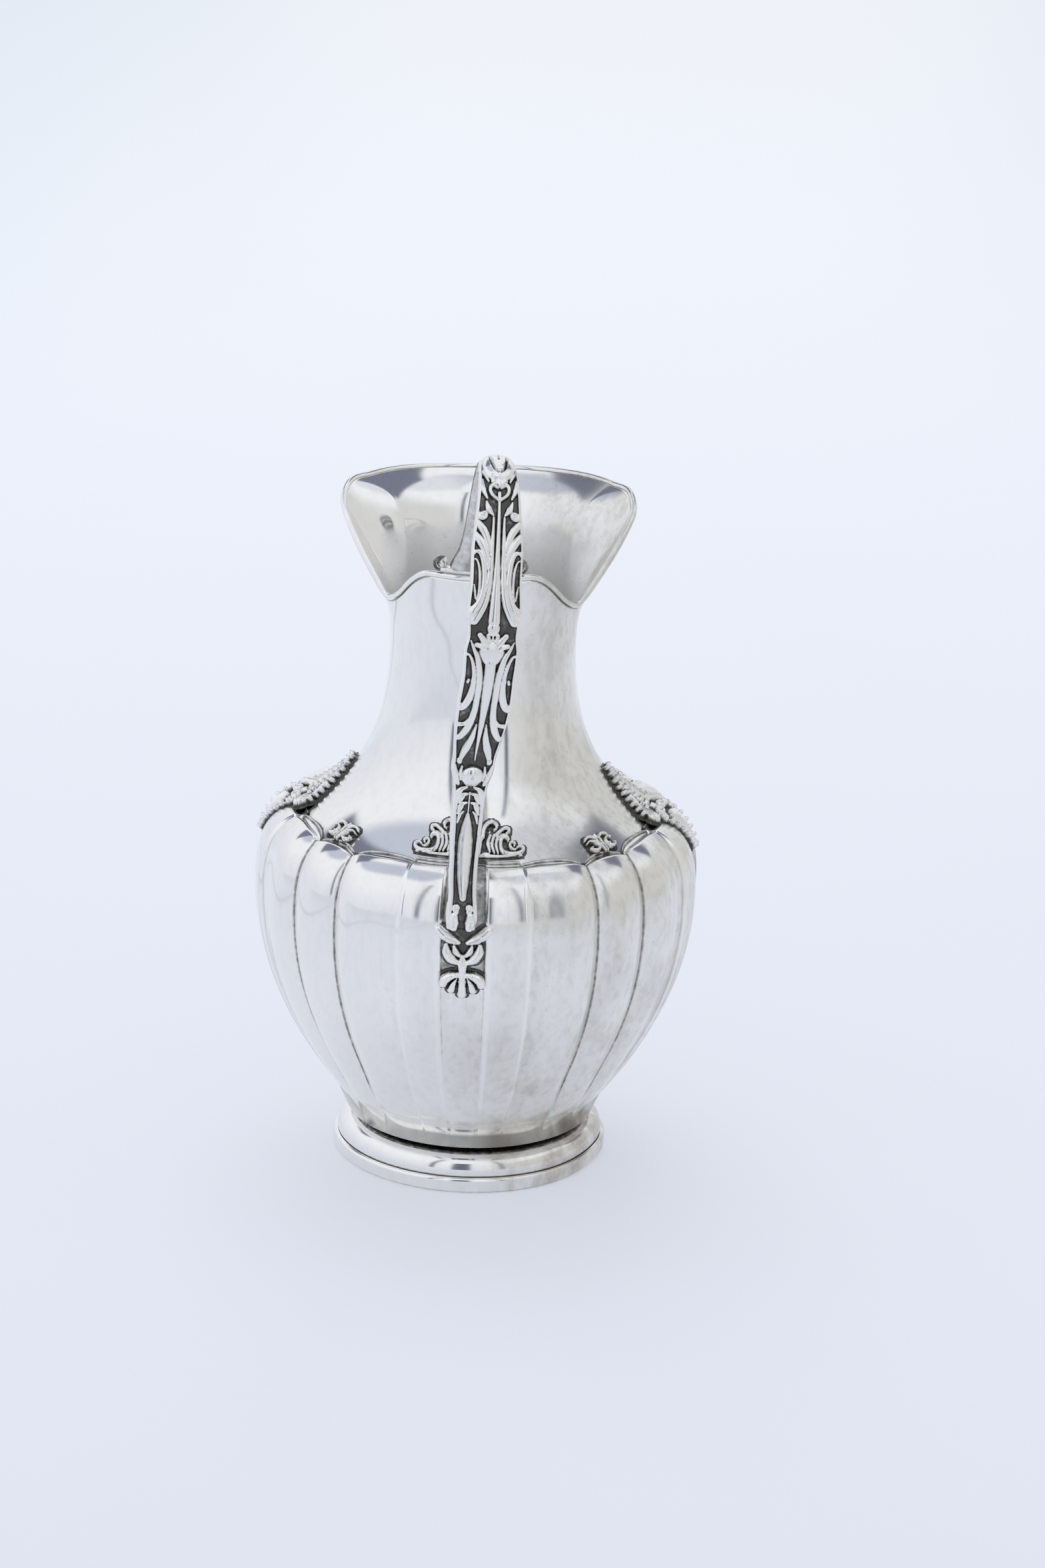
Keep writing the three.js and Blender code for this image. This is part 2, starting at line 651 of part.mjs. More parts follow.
const strapSection = [
  [-0.8, -1], [0.8, -1], [1, -0.5], [1, 0.35], [0.7, 0.8], [0, 1], [-0.7, 0.8], [-1, 0.35], [-1, -0.5],
];
const handleRings = Array.from({ length: HANDLE_STEPS + 1 }, (_, step) => {
  const place = step / HANDLE_STEPS;
  const centre = handleLine.getPointAt(place);
  const outward = new THREE.Vector3().crossVectors(handleLine.getTangentAt(place), acrossStrap).negate();
  const width = between(handleWidths, place);
  return strapSection.map(([across, out]) => {
    const crown = out > 0 ? between(handleCrown, place) : 1;
    const point = centre.clone()
      .addScaledVector(acrossStrap, (across * width) / 2)
      .addScaledVector(outward, (out * crown * HANDLE_THICKNESS) / 2);
    if (step === 0) point.z = handleRoot.z;
    if (step === HANDLE_STEPS) point.z = handleEnd.z;
    return point;
  });
});
addPiece('handle', joinRings(handleRings), CAST);

// A casting lying on the vessel along a line of points and normals, centred on an angle:
// thick in the middle and thin at its edges and tips.
function casting(line, widths, thickness, centreAngle) {
  const rings = widths.map(([place, width]) => {
    const { point, normal } = line(place);
    const swell = Math.sin(Math.PI * clamp(place, CASTING_TIP, 1 - CASTING_TIP));
    const body = lerp(CASTING_EDGE, thickness, Math.sqrt(swell));
    const columns = [-1, -0.66, -0.33, 0, 0.33, 0.66, 1].map((across) => {
      const angle = centreAngle + radToDeg((across * width) / 2 / point.x);
      const back = point.clone().addScaledVector(normal, SOLDER_GAP);
      const front = back.clone().addScaledVector(normal, lerp(body, CASTING_EDGE, across ** 2));
      return [back, front].map((p) => onVessel(p.x, p.y, angle));
    });
    return [...columns.map(([back]) => back), ...columns.map(([, front]) => front).reverse()];
  });
  return joinRings(rings);
}

// A line up the shoulder between two radii.
function shoulderLine(lowRadius, highRadius) {
  return (place) => {
    const on = shoulderPlace(lerp(lowRadius, highRadius, place));
    return { point: shoulderCurve.getPoint(on), normal: outwardNormal(shoulderCurve.getTangent(on)) };
  };
}

// Rear crest: an acanthus crest on the flat stretch of the scalloped edge, behind the handle
const crestWidths = [
  [0, CREST_WIDTH],
  [0.18, 0.94 * CREST_WIDTH],
  [0.4, 0.66 * CREST_WIDTH],
  [0.65, 0.42 * CREST_WIDTH],
  [0.85, 0.22 * CREST_WIDTH],
  [1, 0.08 * CREST_WIDTH],
];
const crestLine = shoulderLine(seamRadius - CASTING_FOOT, seamRadius - CREST_CLIMB);
addPiece('rear_crest', casting(crestLine, crestWidths, CREST_THICKNESS, 0), CAST);

// Corner sprays: a pair of curls above each corner lobe
const sprayWidths = [
  [0, 0.6 * SPRAY_WIDTH],
  [0.2, 0.95 * SPRAY_WIDTH],
  [0.45, SPRAY_WIDTH],
  [0.7, 0.8 * SPRAY_WIDTH],
  [0.9, 0.45 * SPRAY_WIDTH],
  [1, 0.2 * SPRAY_WIDTH],
];
const sprayLine = shoulderLine(cornerRadius - CASTING_FOOT, cornerRadius - SPRAY_CLIMB);
for (let corner = 0; corner < LOBE_GROUPS; corner++) {
  const geometry = casting(sprayLine, sprayWidths, SPRAY_THICKNESS, CORNER * (2 * corner + 1));
  addPiece(`corner_spray_${corner + 1}`, geometry, CAST);
}

// Plaques: kites from the lobes, across the seam and up the shoulder, on the sides and the front
const seamTurn = turnAtRadius(seamRadius);
const lowTurn = turnAtHeight(bellyHeight + PLAQUE_RISE);
const plaqueCurve = new THREE.SplineCurve([
  ...[0, 0.25, 0.5, 0.75, 1].map((share) => crownTurn(lerp(lowTurn, seamTurn, share)).point),
  ...[0.25, 0.5, 0.75, 1].map((share) => {
    const radius = lerp(seamRadius - 2 * SEAM_LAP, seamRadius - PLAQUE_CLIMB, share);
    return shoulderCurve.getPoint(shoulderPlace(radius));
  }),
]);
const plaqueLine = (place) => {
  return { point: plaqueCurve.getPointAt(place), normal: outwardNormal(plaqueCurve.getTangentAt(place)) };
};
const plaqueWidths = [
  [0, 0.05 * PLAQUE_WIDTH],
  [0.1, 0.3 * PLAQUE_WIDTH],
  [0.2, 0.62 * PLAQUE_WIDTH],
  [0.3, 0.9 * PLAQUE_WIDTH],
  [0.38, PLAQUE_WIDTH],
  [0.46, 0.92 * PLAQUE_WIDTH],
  [0.56, 0.68 * PLAQUE_WIDTH],
  [0.68, 0.46 * PLAQUE_WIDTH],
  [0.8, 0.28 * PLAQUE_WIDTH],
  [0.91, 0.14 * PLAQUE_WIDTH],
  [1, 0.03 * PLAQUE_WIDTH],
];
for (const [name, angle] of [['plaque_right', 90], ['plaque_front', 180], ['plaque_left', 270]]) {
  addPiece(name, casting(plaqueLine, plaqueWidths, PLAQUE_THICKNESS, angle), CAST);
}

// The origin is on the floor under the middle of the jug's length and width.
const extent = new THREE.Box3().setFromObject(jug);
const middle = extent.getCenter(new THREE.Vector3());
jug.position.set(-middle.x, -middle.y, -extent.min.z);

export default jug;
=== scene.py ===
import math

import bpy
import numpy as np
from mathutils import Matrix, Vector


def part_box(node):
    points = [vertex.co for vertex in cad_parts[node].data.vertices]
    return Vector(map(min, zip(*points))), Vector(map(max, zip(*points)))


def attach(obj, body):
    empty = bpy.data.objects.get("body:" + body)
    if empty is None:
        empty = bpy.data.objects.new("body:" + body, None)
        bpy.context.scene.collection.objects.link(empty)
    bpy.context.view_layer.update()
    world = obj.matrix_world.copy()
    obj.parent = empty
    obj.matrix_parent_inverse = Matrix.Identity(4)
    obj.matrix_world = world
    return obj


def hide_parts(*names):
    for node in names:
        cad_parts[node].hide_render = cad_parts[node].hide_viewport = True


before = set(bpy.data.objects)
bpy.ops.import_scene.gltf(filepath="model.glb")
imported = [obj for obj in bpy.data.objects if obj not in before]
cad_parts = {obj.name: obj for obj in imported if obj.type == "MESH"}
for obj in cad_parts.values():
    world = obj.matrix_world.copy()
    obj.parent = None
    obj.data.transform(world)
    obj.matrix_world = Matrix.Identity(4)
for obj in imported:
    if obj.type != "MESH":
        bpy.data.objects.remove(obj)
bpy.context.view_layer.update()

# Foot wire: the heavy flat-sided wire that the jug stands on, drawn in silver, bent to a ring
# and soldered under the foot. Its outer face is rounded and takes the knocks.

MILLIMETRE = 0.001
FOOT_WIRE_LIFT = 0.9
FOOT_WIRE_WIDTH = 3.7
FOOT_SIDES = 320
SHARP_EDGE = math.radians(50)
POLE_REACH = 1e-7

wire_low, wire_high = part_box("foot_wire")
axis_x, axis_y = (wire_low.x + wire_high.x) / 2, (wire_low.y + wire_high.y) / 2
foot_wire_radius = (wire_high.x - wire_low.x) / 2 / MILLIMETRE
foot_wire_height = wire_high.z / MILLIMETRE


def smoothstep(value, low, high):
    """How far value is from low to high, from 0 to 1 with no kink at either end."""
    share = np.clip((np.asarray(value, float) - low) / (high - low), 0, 1)
    return share * share * (3 - 2 * share)


def on_vessel(radius, height, angle):
    """Points in metres for radii and heights in millimetres and degrees round from the handle."""
    turn = np.radians(angle)
    radius, height, turn = np.broadcast_arrays(radius, height, turn)
    x = radius * np.sin(turn) * MILLIMETRE + axis_x
    y = -radius * np.cos(turn) * MILLIMETRE + axis_y
    return np.stack([x, y, height * MILLIMETRE], axis=-1)


def make_mesh(name, points, faces, patina_and_shade):
    """An object with smooth faces pointing outwards, and how black it is at each of its points, with oxide
    and painted shade.
    """
    a, b, c, d = (points[faces[:, k]] for k in range(4))
    volume = np.einsum("ij,ij->i", a, np.cross(b, c) + np.cross(c, d)).sum()
    if volume < 0:
        faces = faces[:, ::-1]
    mesh = bpy.data.meshes.new(name)
    mesh.from_pydata(points, [], faces.tolist())
    mesh.polygons.foreach_set("use_smooth", np.ones(len(faces), bool))
    mesh.set_sharp_from_angle(angle=SHARP_EDGE)
    mesh.attributes.new("patina_and_shade", "FLOAT", "POINT").data.foreach_set("value", np.ravel(patina_and_shade))
    piece = bpy.data.objects.new(name, mesh)
    bpy.context.scene.collection.objects.link(piece)
    return piece


def join_rings(name, rings, closed, patina_and_shade):
    """A body through rings of points. If the last ring doesn't meet the first, both ends close in a pole."""
    if not closed:
        ends = [np.repeat(ring.mean(0)[None], len(ring), 0) for ring in (rings[0], rings[-1])]
        rings = np.concatenate([ends[0][None], rings, ends[1][None]])
        patina_and_shade = np.concatenate([patina_and_shade[:1], patina_and_shade, patina_and_shade[-1:]])
    rows, sides = rings.shape[:2]
    row = np.arange(rows if closed else rows - 1)[:, None]
    side = np.arange(sides)[None]
    this, after = row * sides, (row + 1) % rows * sides
    beside = (side + 1) % sides
    faces = np.stack([this + side, after + side, after + beside, this + beside], -1).reshape(-1, 4)
    piece = make_mesh(name, rings.reshape(-1, 3), faces, patina_and_shade)
    if not closed:
        merge_poles(piece)
    return piece


def merge_poles(piece):
    """Draws the points that lie on each other into one, so that a pole is closed."""
    import bmesh
    work = bmesh.new()
    work.from_mesh(piece.data)
    bmesh.ops.remove_doubles(work, verts=work.verts, dist=POLE_REACH)
    work.to_mesh(piece.data)
    work.free()


def turn_on_lathe(name, outline, sides, lift, dark):
    """A ring turned from a closed outline of radii and heights, with its dark places. lift bends it."""
    angle = np.arange(sides) * 360 / sides
    outline = np.asarray(outline, float)
    radius, height = outline[:, :1], outline[:, 1:]
    patina_and_shade = np.repeat(dark(radius, height), sides, 1)
    height = height + lift(radius, angle[None])
    return join_rings(name, on_vessel(radius, height, angle[None]), True, patina_and_shade)


def arc(centre, radius, start, end, steps):
    """Points along an arc in an outline, its angles in degrees from straight out, upwards."""
    turn = np.radians(np.linspace(start, end, steps))
    return [(centre[0] + radius * math.cos(t), centre[1] + radius * math.sin(t)) for t in turn]


class Flow:
    """A socket of a node tree that can be used in sums. Its node method adds any other node."""

    def __init__(self, tree, socket=None):
        self.tree = tree
        self.socket = socket

    def node(self, kind, settings, sockets, output=0):
        made = self.tree.nodes.new(kind)
        for name, value in settings.items():
            setattr(made, name, value)
        for name, value in sockets.items():
            if isinstance(value, Flow):
                self.tree.links.new(value.socket, made.inputs[name])
            else:
                made.inputs[name].default_value = value
        return Flow(self.tree, made.outputs[output] if output is not None else None)

    def maths(self, operation, *values):
        return self.node("ShaderNodeMath", {"operation": operation}, dict(enumerate(values)))

    def __add__(self, other):
        return self.maths("ADD", self, other)

    __radd__ = __add__

    def __sub__(self, other):
        return self.maths("SUBTRACT", self, other)

    def __rsub__(self, other):
        return self.maths("SUBTRACT", other, self)

    def __mul__(self, other):
        return self.maths("MULTIPLY", self, other)

    __rmul__ = __mul__

    def __truediv__(self, other):
        return self.maths("DIVIDE", self, other)

    def __pow__(self, other):
        return self.maths("POWER", self, other)

    def __abs__(self):
        return self.maths("ABSOLUTE", self)

    def __gt__(self, other):
        return self.maths("GREATER_THAN", self, other)

    def __lt__(self, other):
        return self.maths("LESS_THAN", self, other)

    def least(self, other):
        return self.maths("MINIMUM", self, other)

    def most(self, other):
        return self.maths("MAXIMUM", self, other)

    def smooth(self, low, high):
        return self.node(
            "ShaderNodeMapRange",
            {"interpolation_type": "SMOOTHSTEP"},
            {"Value": self, "From Min": low, "From Max": high},
        )

    def axes(self):
        """A vector's three parts."""
        return [self.node("ShaderNodeSeparateXYZ", {}, {0: self}, axis) for axis in "XYZ"]

    def blend(self, start, end):
        """The colour between two others at this share."""
        return self.node(
            "ShaderNodeMix", {"data_type": "RGBA"}, {"Factor": self, 6: start, 7: end}, 2
        )


CLEAN_SILVER = (0.93, 0.92, 0.895, 1)
TARNISHED_SILVER = (0.645, 0.63, 0.585, 1)
SATIN_SILVER = (0.97, 0.965, 0.955, 1)
OXIDE_AND_SHADE_BLACK = (0.055, 0.050, 0.044, 1)
BROWN_STAIN = (0.40, 0.345, 0.275, 1)


def silver(name, tarnish, shine, waviness, film_start=-0.03, film_full=0.07):
    """Silver with a film of tarnish, heavier on the right, thinned by a painted sheen and thickened by
    painted shade where a piece marks them, a brown stain low on the right, black oxide and painted shade
    where a piece marks them, and a hand-worked skin. Satin metal is paler and duller."""
    material = bpy.data.materials.new(name)
    material.use_nodes = True
    tree = material.node_tree
    tree.nodes.clear()
    start = Flow(tree)
    place = start.node("ShaderNodeTexCoord", {}, {}, "Object")
    x, _, height = place.axes()
    marks = ("patina_and_shade", "satin", "painted_sheen")
    patina_and_shade, satin, painted_sheen = (
        start.node("ShaderNodeAttribute", {"attribute_name": mark}, {}, "Fac") for mark in marks
    )

    def noise(scale, detail, stretch=(1, 1, 1)):
        spread = start.node("ShaderNodeMapping", {}, {"Vector": place, "Scale": stretch})
        return start.node(
            "ShaderNodeTexNoise", {}, {"Vector": spread, "Scale": scale, "Detail": detail}
        )

    clouds = noise(26, 5).smooth(0.38, 0.68)
    streaks = noise(120, 4, (1, 1, 0.12)).smooth(0.52, 0.72)
    specks = noise(900, 2).smooth(0.66, 0.74)
    bloom = noise(420, 5, (1, 1, 0.5)).smooth(0.42, 0.7)
    right_side = (x + 0.012 * (noise(60, 4, (1, 1, 0.2)) - 0.5)).smooth(film_start, film_full)
    film = (0.15 + 0.85 * right_side) * (0.35 + 0.5 * clouds + 0.35 * streaks) * tarnish
    film = film + (specks * right_side * 0.5 + bloom * (0.1 + 0.22 * right_side)) * tarnish
    # Painted sheen: a mark above nought thins the tarnish into a painted highlight, one below nought thickens
    # it into painted shade.
    film = film * (1 - 0.9 * painted_sheen)
    low_right = x.smooth(0.0, 0.03) * (1 - height.smooth(0.03, 0.085))
    stain = noise(70, 6, (1, 1, 0.6)).smooth(0.5, 0.66) * (0.35 + noise(600, 3))
    stain = stain * low_right * 0.8 * tarnish
    # Black oxide in the hollows of castings, and painted shade, blended in where a piece marks them.
    oxide_and_shade = (patina_and_shade * (0.45 + 1.0 * noise(480, 4))).smooth(0.2, 0.95) * 0.94
    dull = stain.least(1).blend(film.least(1).blend(CLEAN_SILVER, TARNISHED_SILVER), BROWN_STAIN)
    dull = satin.blend(dull, SATIN_SILVER)
    dull = (satin * noise(700, 2).smooth(0.6, 0.72) * 0.55).blend(dull, TARNISHED_SILVER)
    colour = oxide_and_shade.blend(dull, OXIDE_AND_SHADE_BLACK)
    roughness = (shine + 0.16 * film + 0.28 * oxide_and_shade + 0.36 * satin).least(0.6)
    skin = noise(46, 2) * 0.7 + noise(150, 2) * 0.12
    bump = start.node(
        "ShaderNodeBump", {}, {"Height": skin, "Distance": waviness * MILLIMETRE, "Strength": 1.0}
    )
    shader = start.node(
        "ShaderNodeBsdfPrincipled",
        {},
        {"Base Color": colour, "Roughness": roughness, "Metallic": 1 - 0.68 * satin, "Normal": bump},
    )
    start.node("ShaderNodeOutputMaterial", {}, {"Surface": shader}, None)
    return material


def hand_over(piece, node, material):
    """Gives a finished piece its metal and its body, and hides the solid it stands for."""
    if material is not None:
        piece.data.materials.append(material)
    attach(piece, "root")
    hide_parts(node)


foot_silver = silver("foot_silver", 0.75, 0.10, 0.05)


def bent_foot(radius, angle):
    """How far the foot was bent up on its right, in millimetres."""
    return FOOT_WIRE_LIFT * smoothstep(radius, 41, 48) * np.exp(-(((angle - 72) / 20) ** 2))


def wire_shade_and_groove(radius, height):
    """Painted shade on the wire's lower face, where it mirrors the shadow on the floor, and darker in the
    groove above it.
    """
    in_groove = smoothstep(height, foot_wire_height - 0.6, foot_wire_height)
    in_groove = in_groove * (1 - smoothstep(radius, foot_wire_radius - 2.2, foot_wire_radius - 1.1))
    return 0.8 * in_groove + 0.55 * (1 - smoothstep(height, 0.3, 1.7))


inner_wire = foot_wire_radius - FOOT_WIRE_WIDTH
outline = [(inner_wire, 0), (inner_wire, foot_wire_height - 0.2), (inner_wire + 0.3, foot_wire_height)]
outline += arc((foot_wire_radius - 1.3, foot_wire_height - 1.3), 1.3, 90, 0, 9)
outline += arc((foot_wire_radius - 1.6, 1.6), 1.6, 0, -90, 9)
foot_wire = turn_on_lathe("foot_wire_ring", outline, FOOT_SIDES, bent_foot, wire_shade_and_groove)
hand_over(foot_wire, "foot_wire", foot_silver)

# Foot: a ring of silver sheet spun to a hollow moulding, with a flat flange inside that the bowl is
# soldered to. A groove parts it from the wire below.

FOOT_SHEET = 1.0
FLANGE_WIDTH = 6.0
COLLAR_RADIUS = 40.0
OVOLO_STEPS = 22

ring_low, ring_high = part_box("foot_ring")
foot_height = ring_high.z / MILLIMETRE
moulding_radius = (ring_high.x - ring_low.x) / 2 / MILLIMETRE
moulding_foot = ring_low.z / MILLIMETRE
flange_radius = COLLAR_RADIUS - FLANGE_WIDTH


def moulding(share, inset):
    """A point of the moulding's skin: it leaves the flange flat, swells, and turns under at the groove."""
    reach = moulding_radius - COLLAR_RADIUS
    drop = foot_height - moulding_foot
    across = 1 - (1 - share) ** 2.1
    down = share**1.9
    return COLLAR_RADIUS + (reach - inset) * across, foot_height - inset - (drop - inset) * down


def moulding_shade_and_groove(radius, height):
    """Painted shade in the corner under the bowl, and darker in the groove over the wire."""
    in_corner = 1 - smoothstep(radius, 39.6, 40.8)
    in_groove = 1 - smoothstep(height, moulding_foot, moulding_foot + 0.7)
    return 0.8 * in_corner + 0.6 * in_groove


shares = np.linspace(0, 1, OVOLO_STEPS)
outer_skin = [moulding(s, 0) for s in shares]
outer_skin += [(moulding_radius - 0.7, moulding_foot - 0.05)]
inner_skin = [moulding(s, FOOT_SHEET) for s in shares[::-1]]
outline = [(flange_radius, foot_height)] + outer_skin + inner_skin
outline += [(flange_radius, foot_height - FOOT_SHEET)]
foot_ring = turn_on_lathe("foot_moulding", outline, FOOT_SIDES, bent_foot, moulding_shade_and_groove)
hand_over(foot_ring, "foot_ring", foot_silver)

# Bowl: one sheet of silver raised over stakes to a round belly, then chased into four groups of lobes:
# a sunk panel between two bands, two wide lobes and a narrow corner lobe. Its scalloped top edge
# is dressed down on to the shoulder with a half-round border.

SHEET = 0.9
BELLY_RADIUS = 77.6
BELLY_HEIGHT = 100.5
BASE_RADIUS = 44.5
BASE_HEIGHT = 21.0
COLLAR_FOOT = 14.55
BOTTOM_HEIGHT = 13.35
BOTTOM_RADIUS = 37.0
TURN_RADIUS = 55.5
TURN_RISE = 27.4
TURN_POWER = 2 / 2.6
EDGE_RADIUS = 60.0
CUSP_RADIUS = 65.2
CORNER_RADIUS = 61.0
PANEL_EDGE = 5.6
PANEL_DEPTH = 1.8
BAND_EDGE = 16.9
BAND_SAG = 0.3
CREASE = 36.8
CREASE_DEPTH = 3.2
HOLLOW_DEPTH = 1.1
RIDGE_WIDTH = 0.55
RIDGE_RISE = 0.45
STEP_RISE = 0.2
RECESS_FOOT = 94.0
RECESS_DROP = 8.0
LOBE_FOOT = 19.0
LOBE_FULL = 49.0
SHOULDER_RADIUS = 70.0
SHOULDER_FOOT = 121.2
SHOULDER_RISE = 0.46
SHOULDER_CURVE = 0.0065
BORDER_WIDTH = 0.75
BORDER_RISE = 0.5
PILLOW = 5.5
BOWL_COLUMNS = 720
COLLAR_ROWS = 12
FLANK_ROWS = 44
TURN_ROWS = 56
INNER_ROWS = 14
MERGE_REACH = 2e-6

bowl_tree = bpy.data.node_groups.new("lobed_bowl", "GeometryNodeTree")
bowl_tree.interface.new_socket(name="Geometry", in_out="OUTPUT", socket_type="NodeSocketGeometry")
bowl_sizes = {
    "Belly Radius": BELLY_RADIUS,
    "Belly Height": BELLY_HEIGHT,
    "Base Radius": BASE_RADIUS,
    "Base Height": BASE_HEIGHT,
    "Turn Radius": TURN_RADIUS,
    "Turn Rise": TURN_RISE,
    "Edge Radius": EDGE_RADIUS,
    "Crease Depth": CREASE_DEPTH,
    "Panel Depth": PANEL_DEPTH,
    "Sheet": SHEET,
}
for size in bowl_sizes:
    bowl_tree.interface.new_socket(name=size, in_out="INPUT", socket_type="NodeSocketFloat")
start = Flow(bowl_tree)
given = bowl_tree.nodes.new("NodeGroupInput")
size = {name: Flow(bowl_tree, given.outputs[name]) for name in bowl_sizes}

# Rows of the sheet run from the bottom up the outside, over the turn to the edge, and back down inside.
bowl_rows = 3 + COLLAR_ROWS + FLANK_ROWS + TURN_ROWS + INNER_ROWS
sheet_grid = start.node(
    "GeometryNodeMeshGrid", {}, {"Vertices X": BOWL_COLUMNS + 1, "Vertices Y": bowl_rows}
)
index = start.node("GeometryNodeInputIndex", {}, {})
column = start.maths("FLOOR", index / bowl_rows)
row = index - column * bowl_rows
angle = column * (360 / BOWL_COLUMNS)
from_panel = abs(angle - 90 * start.maths("ROUND", angle / 90))

outer_end = 2 + COLLAR_ROWS + FLANK_ROWS + TURN_ROWS
inside = row > outer_end
inner_share = ((row - outer_end) / INNER_ROWS).most(0)
collar = ((row - 2) / COLLAR_ROWS).most(0).least(1)
flank = ((row - 2 - COLLAR_ROWS) / FLANK_ROWS).most(0).least(1) ** 1.4
flank = flank.least((1 - (inner_share - 0.4) / 0.5).most(0))
turn = ((row - 2 - COLLAR_ROWS - FLANK_ROWS) / TURN_ROWS).most(0).least(1)
turn = turn.least((1 - inner_share / 0.4).most(0))
turn = 1 - (1 - turn) ** 1.5

# How deep the chasing goes, across a panel, a band, a wide lobe and a corner lobe.
in_panel = 1 - from_panel.smooth(PANEL_EDGE - 0.35, PANEL_EDGE + 0.35)
band_middle = (PANEL_EDGE + BAND_EDGE) / 2
across_band = (from_panel - band_middle) / (BAND_EDGE - band_middle)
in_band = (from_panel > PANEL_EDGE - 0.35) * (from_panel < BAND_EDGE)
across_lobe = (from_panel - BAND_EDGE) / (CREASE - BAND_EDGE)
in_lobe = (across_lobe > 0) * (from_panel < CREASE)
across_corner = (45 - from_panel) / (45 - CREASE)
in_corner = from_panel > CREASE - 0.0001
lobe_fall = ((across_lobe - 0.65) / 0.35).most(0)
depth = in_panel * size["Panel Depth"] + in_band * BAND_SAG * across_band * across_band
depth = depth + in_lobe * (HOLLOW_DEPTH * (1 - across_lobe.smooth(0.2, 0.65)))
depth = depth + in_lobe * size["Crease Depth"] * lobe_fall * lobe_fall
depth = depth + in_corner * size["Crease Depth"] * across_corner * across_corner
from_ridge = (from_panel - BAND_EDGE) / RIDGE_WIDTH
depth = depth - RIDGE_RISE * (1 - from_ridge * from_ridge).most(0)

# The scalloped edge, and how far over the shoulder the sheet turns to reach it.
lobe_rise = across_lobe.most(0).least(1) ** 6
edge = size["Edge Radius"] + in_lobe * (
    1.5 * (1 - across_lobe.most(0).least(1)) ** 3 + (CUSP_RADIUS - EDGE_RADIUS) * lobe_rise
)
edge = edge + in_corner * (
    CORNER_RADIUS - EDGE_RADIUS + (CUSP_RADIUS - CORNER_RADIUS) * across_corner * across_corner
)
turn_share = (edge - size["Turn Radius"]) / (size["Belly Radius"] - size["Turn Radius"])
top_turn = start.maths("ARCCOSINE", turn_share ** (1 / TURN_POWER))
turn_angle = turn * top_turn
turn_out = start.maths("COSINE", turn_angle) ** TURN_POWER
turn_up = start.maths("SINE", turn_angle) ** TURN_POWER

collar_bend = 1 - (1 - collar) ** 2.2
collar_radius = COLLAR_RADIUS + (size["Base Radius"] - COLLAR_RADIUS) * collar_bend
collar_height = COLLAR_FOOT + (size["Base Height"] - COLLAR_FOOT) * collar
flank_height = size["Base Height"] + (size["Belly Height"] - size["Base Height"]) * flank
flank_fall = (size["Belly Radius"] - size["Base Radius"]) * (1 - flank) * (1 - flank)
flank_radius = size["Belly Radius"] - flank_fall
turn_radius = size["Turn Radius"] + (size["Belly Radius"] - size["Turn Radius"]) * turn_out
turn_height = size["Belly Height"] + size["Turn Rise"] * turn_up
on_turn = turn > 0
on_flank = (flank > 0) * (1 - on_turn)
on_collar = (1 - on_turn) * (1 - on_flank)
radius = on_turn * turn_radius + on_flank * flank_radius + on_collar * collar_radius
height = on_turn * turn_height + on_flank * flank_height + on_collar * collar_height

# A thin wavy step above the collar, where the chaser stopped, and the border on the shoulder.
edge_run = 32 - 6 * in_lobe * lobe_rise - in_corner * (1.5 + 4.5 * across_corner * across_corner)
from_edge = (1 - turn) * edge_run
wander = start.maths("SINE", angle * math.radians(8)) * start.maths("SINE", angle * math.radians(3))
step_line = BASE_HEIGHT + 2.0 + 0.6 * wander + 0.2 * start.maths("SINE", angle * math.radians(29))
from_step = (height - step_line) / 0.75
step_ridge = STEP_RISE * (1 - from_step * from_step).most(0)
lobes = height.smooth(LOBE_FOOT, LOBE_FULL) * (0.4 + 0.6 * from_edge.smooth(0.5, 7))
radius = radius - depth * lobes + step_ridge * on_flank * (1 - inside)

seat_fall = SHOULDER_RADIUS - radius
seat = SHOULDER_FOOT + SHOULDER_RISE * seat_fall + SHOULDER_CURVE * seat_fall * seat_fall
across_bead = (from_edge - BORDER_WIDTH * 0.55) / (BORDER_WIDTH * 0.5)
bead = BORDER_RISE * (1 - across_bead * across_bead).most(0) ** 0.5
border = seat + 0.35 + bead - 1.3 * (1 - from_edge / 0.12).most(0)
settle = (1 - from_edge.smooth(BORDER_WIDTH * 0.9, PILLOW)) * on_turn
height = height + settle * (border - height)

radius = radius - inside * size["Sheet"]
height = height - inside * on_turn * size["Sheet"] * 0.8
bottom_row = row < 2
closing = inner_share > 0.9
radius = radius * (1 - (row < 0.5)) * (1 - (inner_share > 0.97))
radius = radius + ((row > 0.5) * bottom_row) * (BOTTOM_RADIUS - radius)
height = height + bottom_row * (BOTTOM_HEIGHT - height)
height = height + closing * (COLLAR_FOOT + SHEET - height)

# Where the metal is darkened: painted shade in the creases, on both sides of the border, along the panels'
# edges, in the sunk panel behind the handle and in the collar's hollow, darker on the border's bead, and a
# little darker inside. And a painted sheen: painted highlights along the bands' ridges and painted shade in
# the hollows.
crease_line = 1 - (abs(from_panel - CREASE) / 0.75).least(1)
crease_dark = 1.05 * crease_line * height.smooth(22, 42)
edge_dark = (1 - (abs(from_edge - 0.05) / 0.3)).most(0)
edge_dark = edge_dark + 0.85 * (1 - abs(from_edge - 0.95) / 0.35).most(0)
edge_dark = edge_dark + 0.6 * (1 - abs(from_edge - 0.45) / 0.7).most(0)
panel_dark = 0.6 * (1 - abs(from_panel - PANEL_EDGE) / 0.5).most(0) * height.smooth(30, 70)
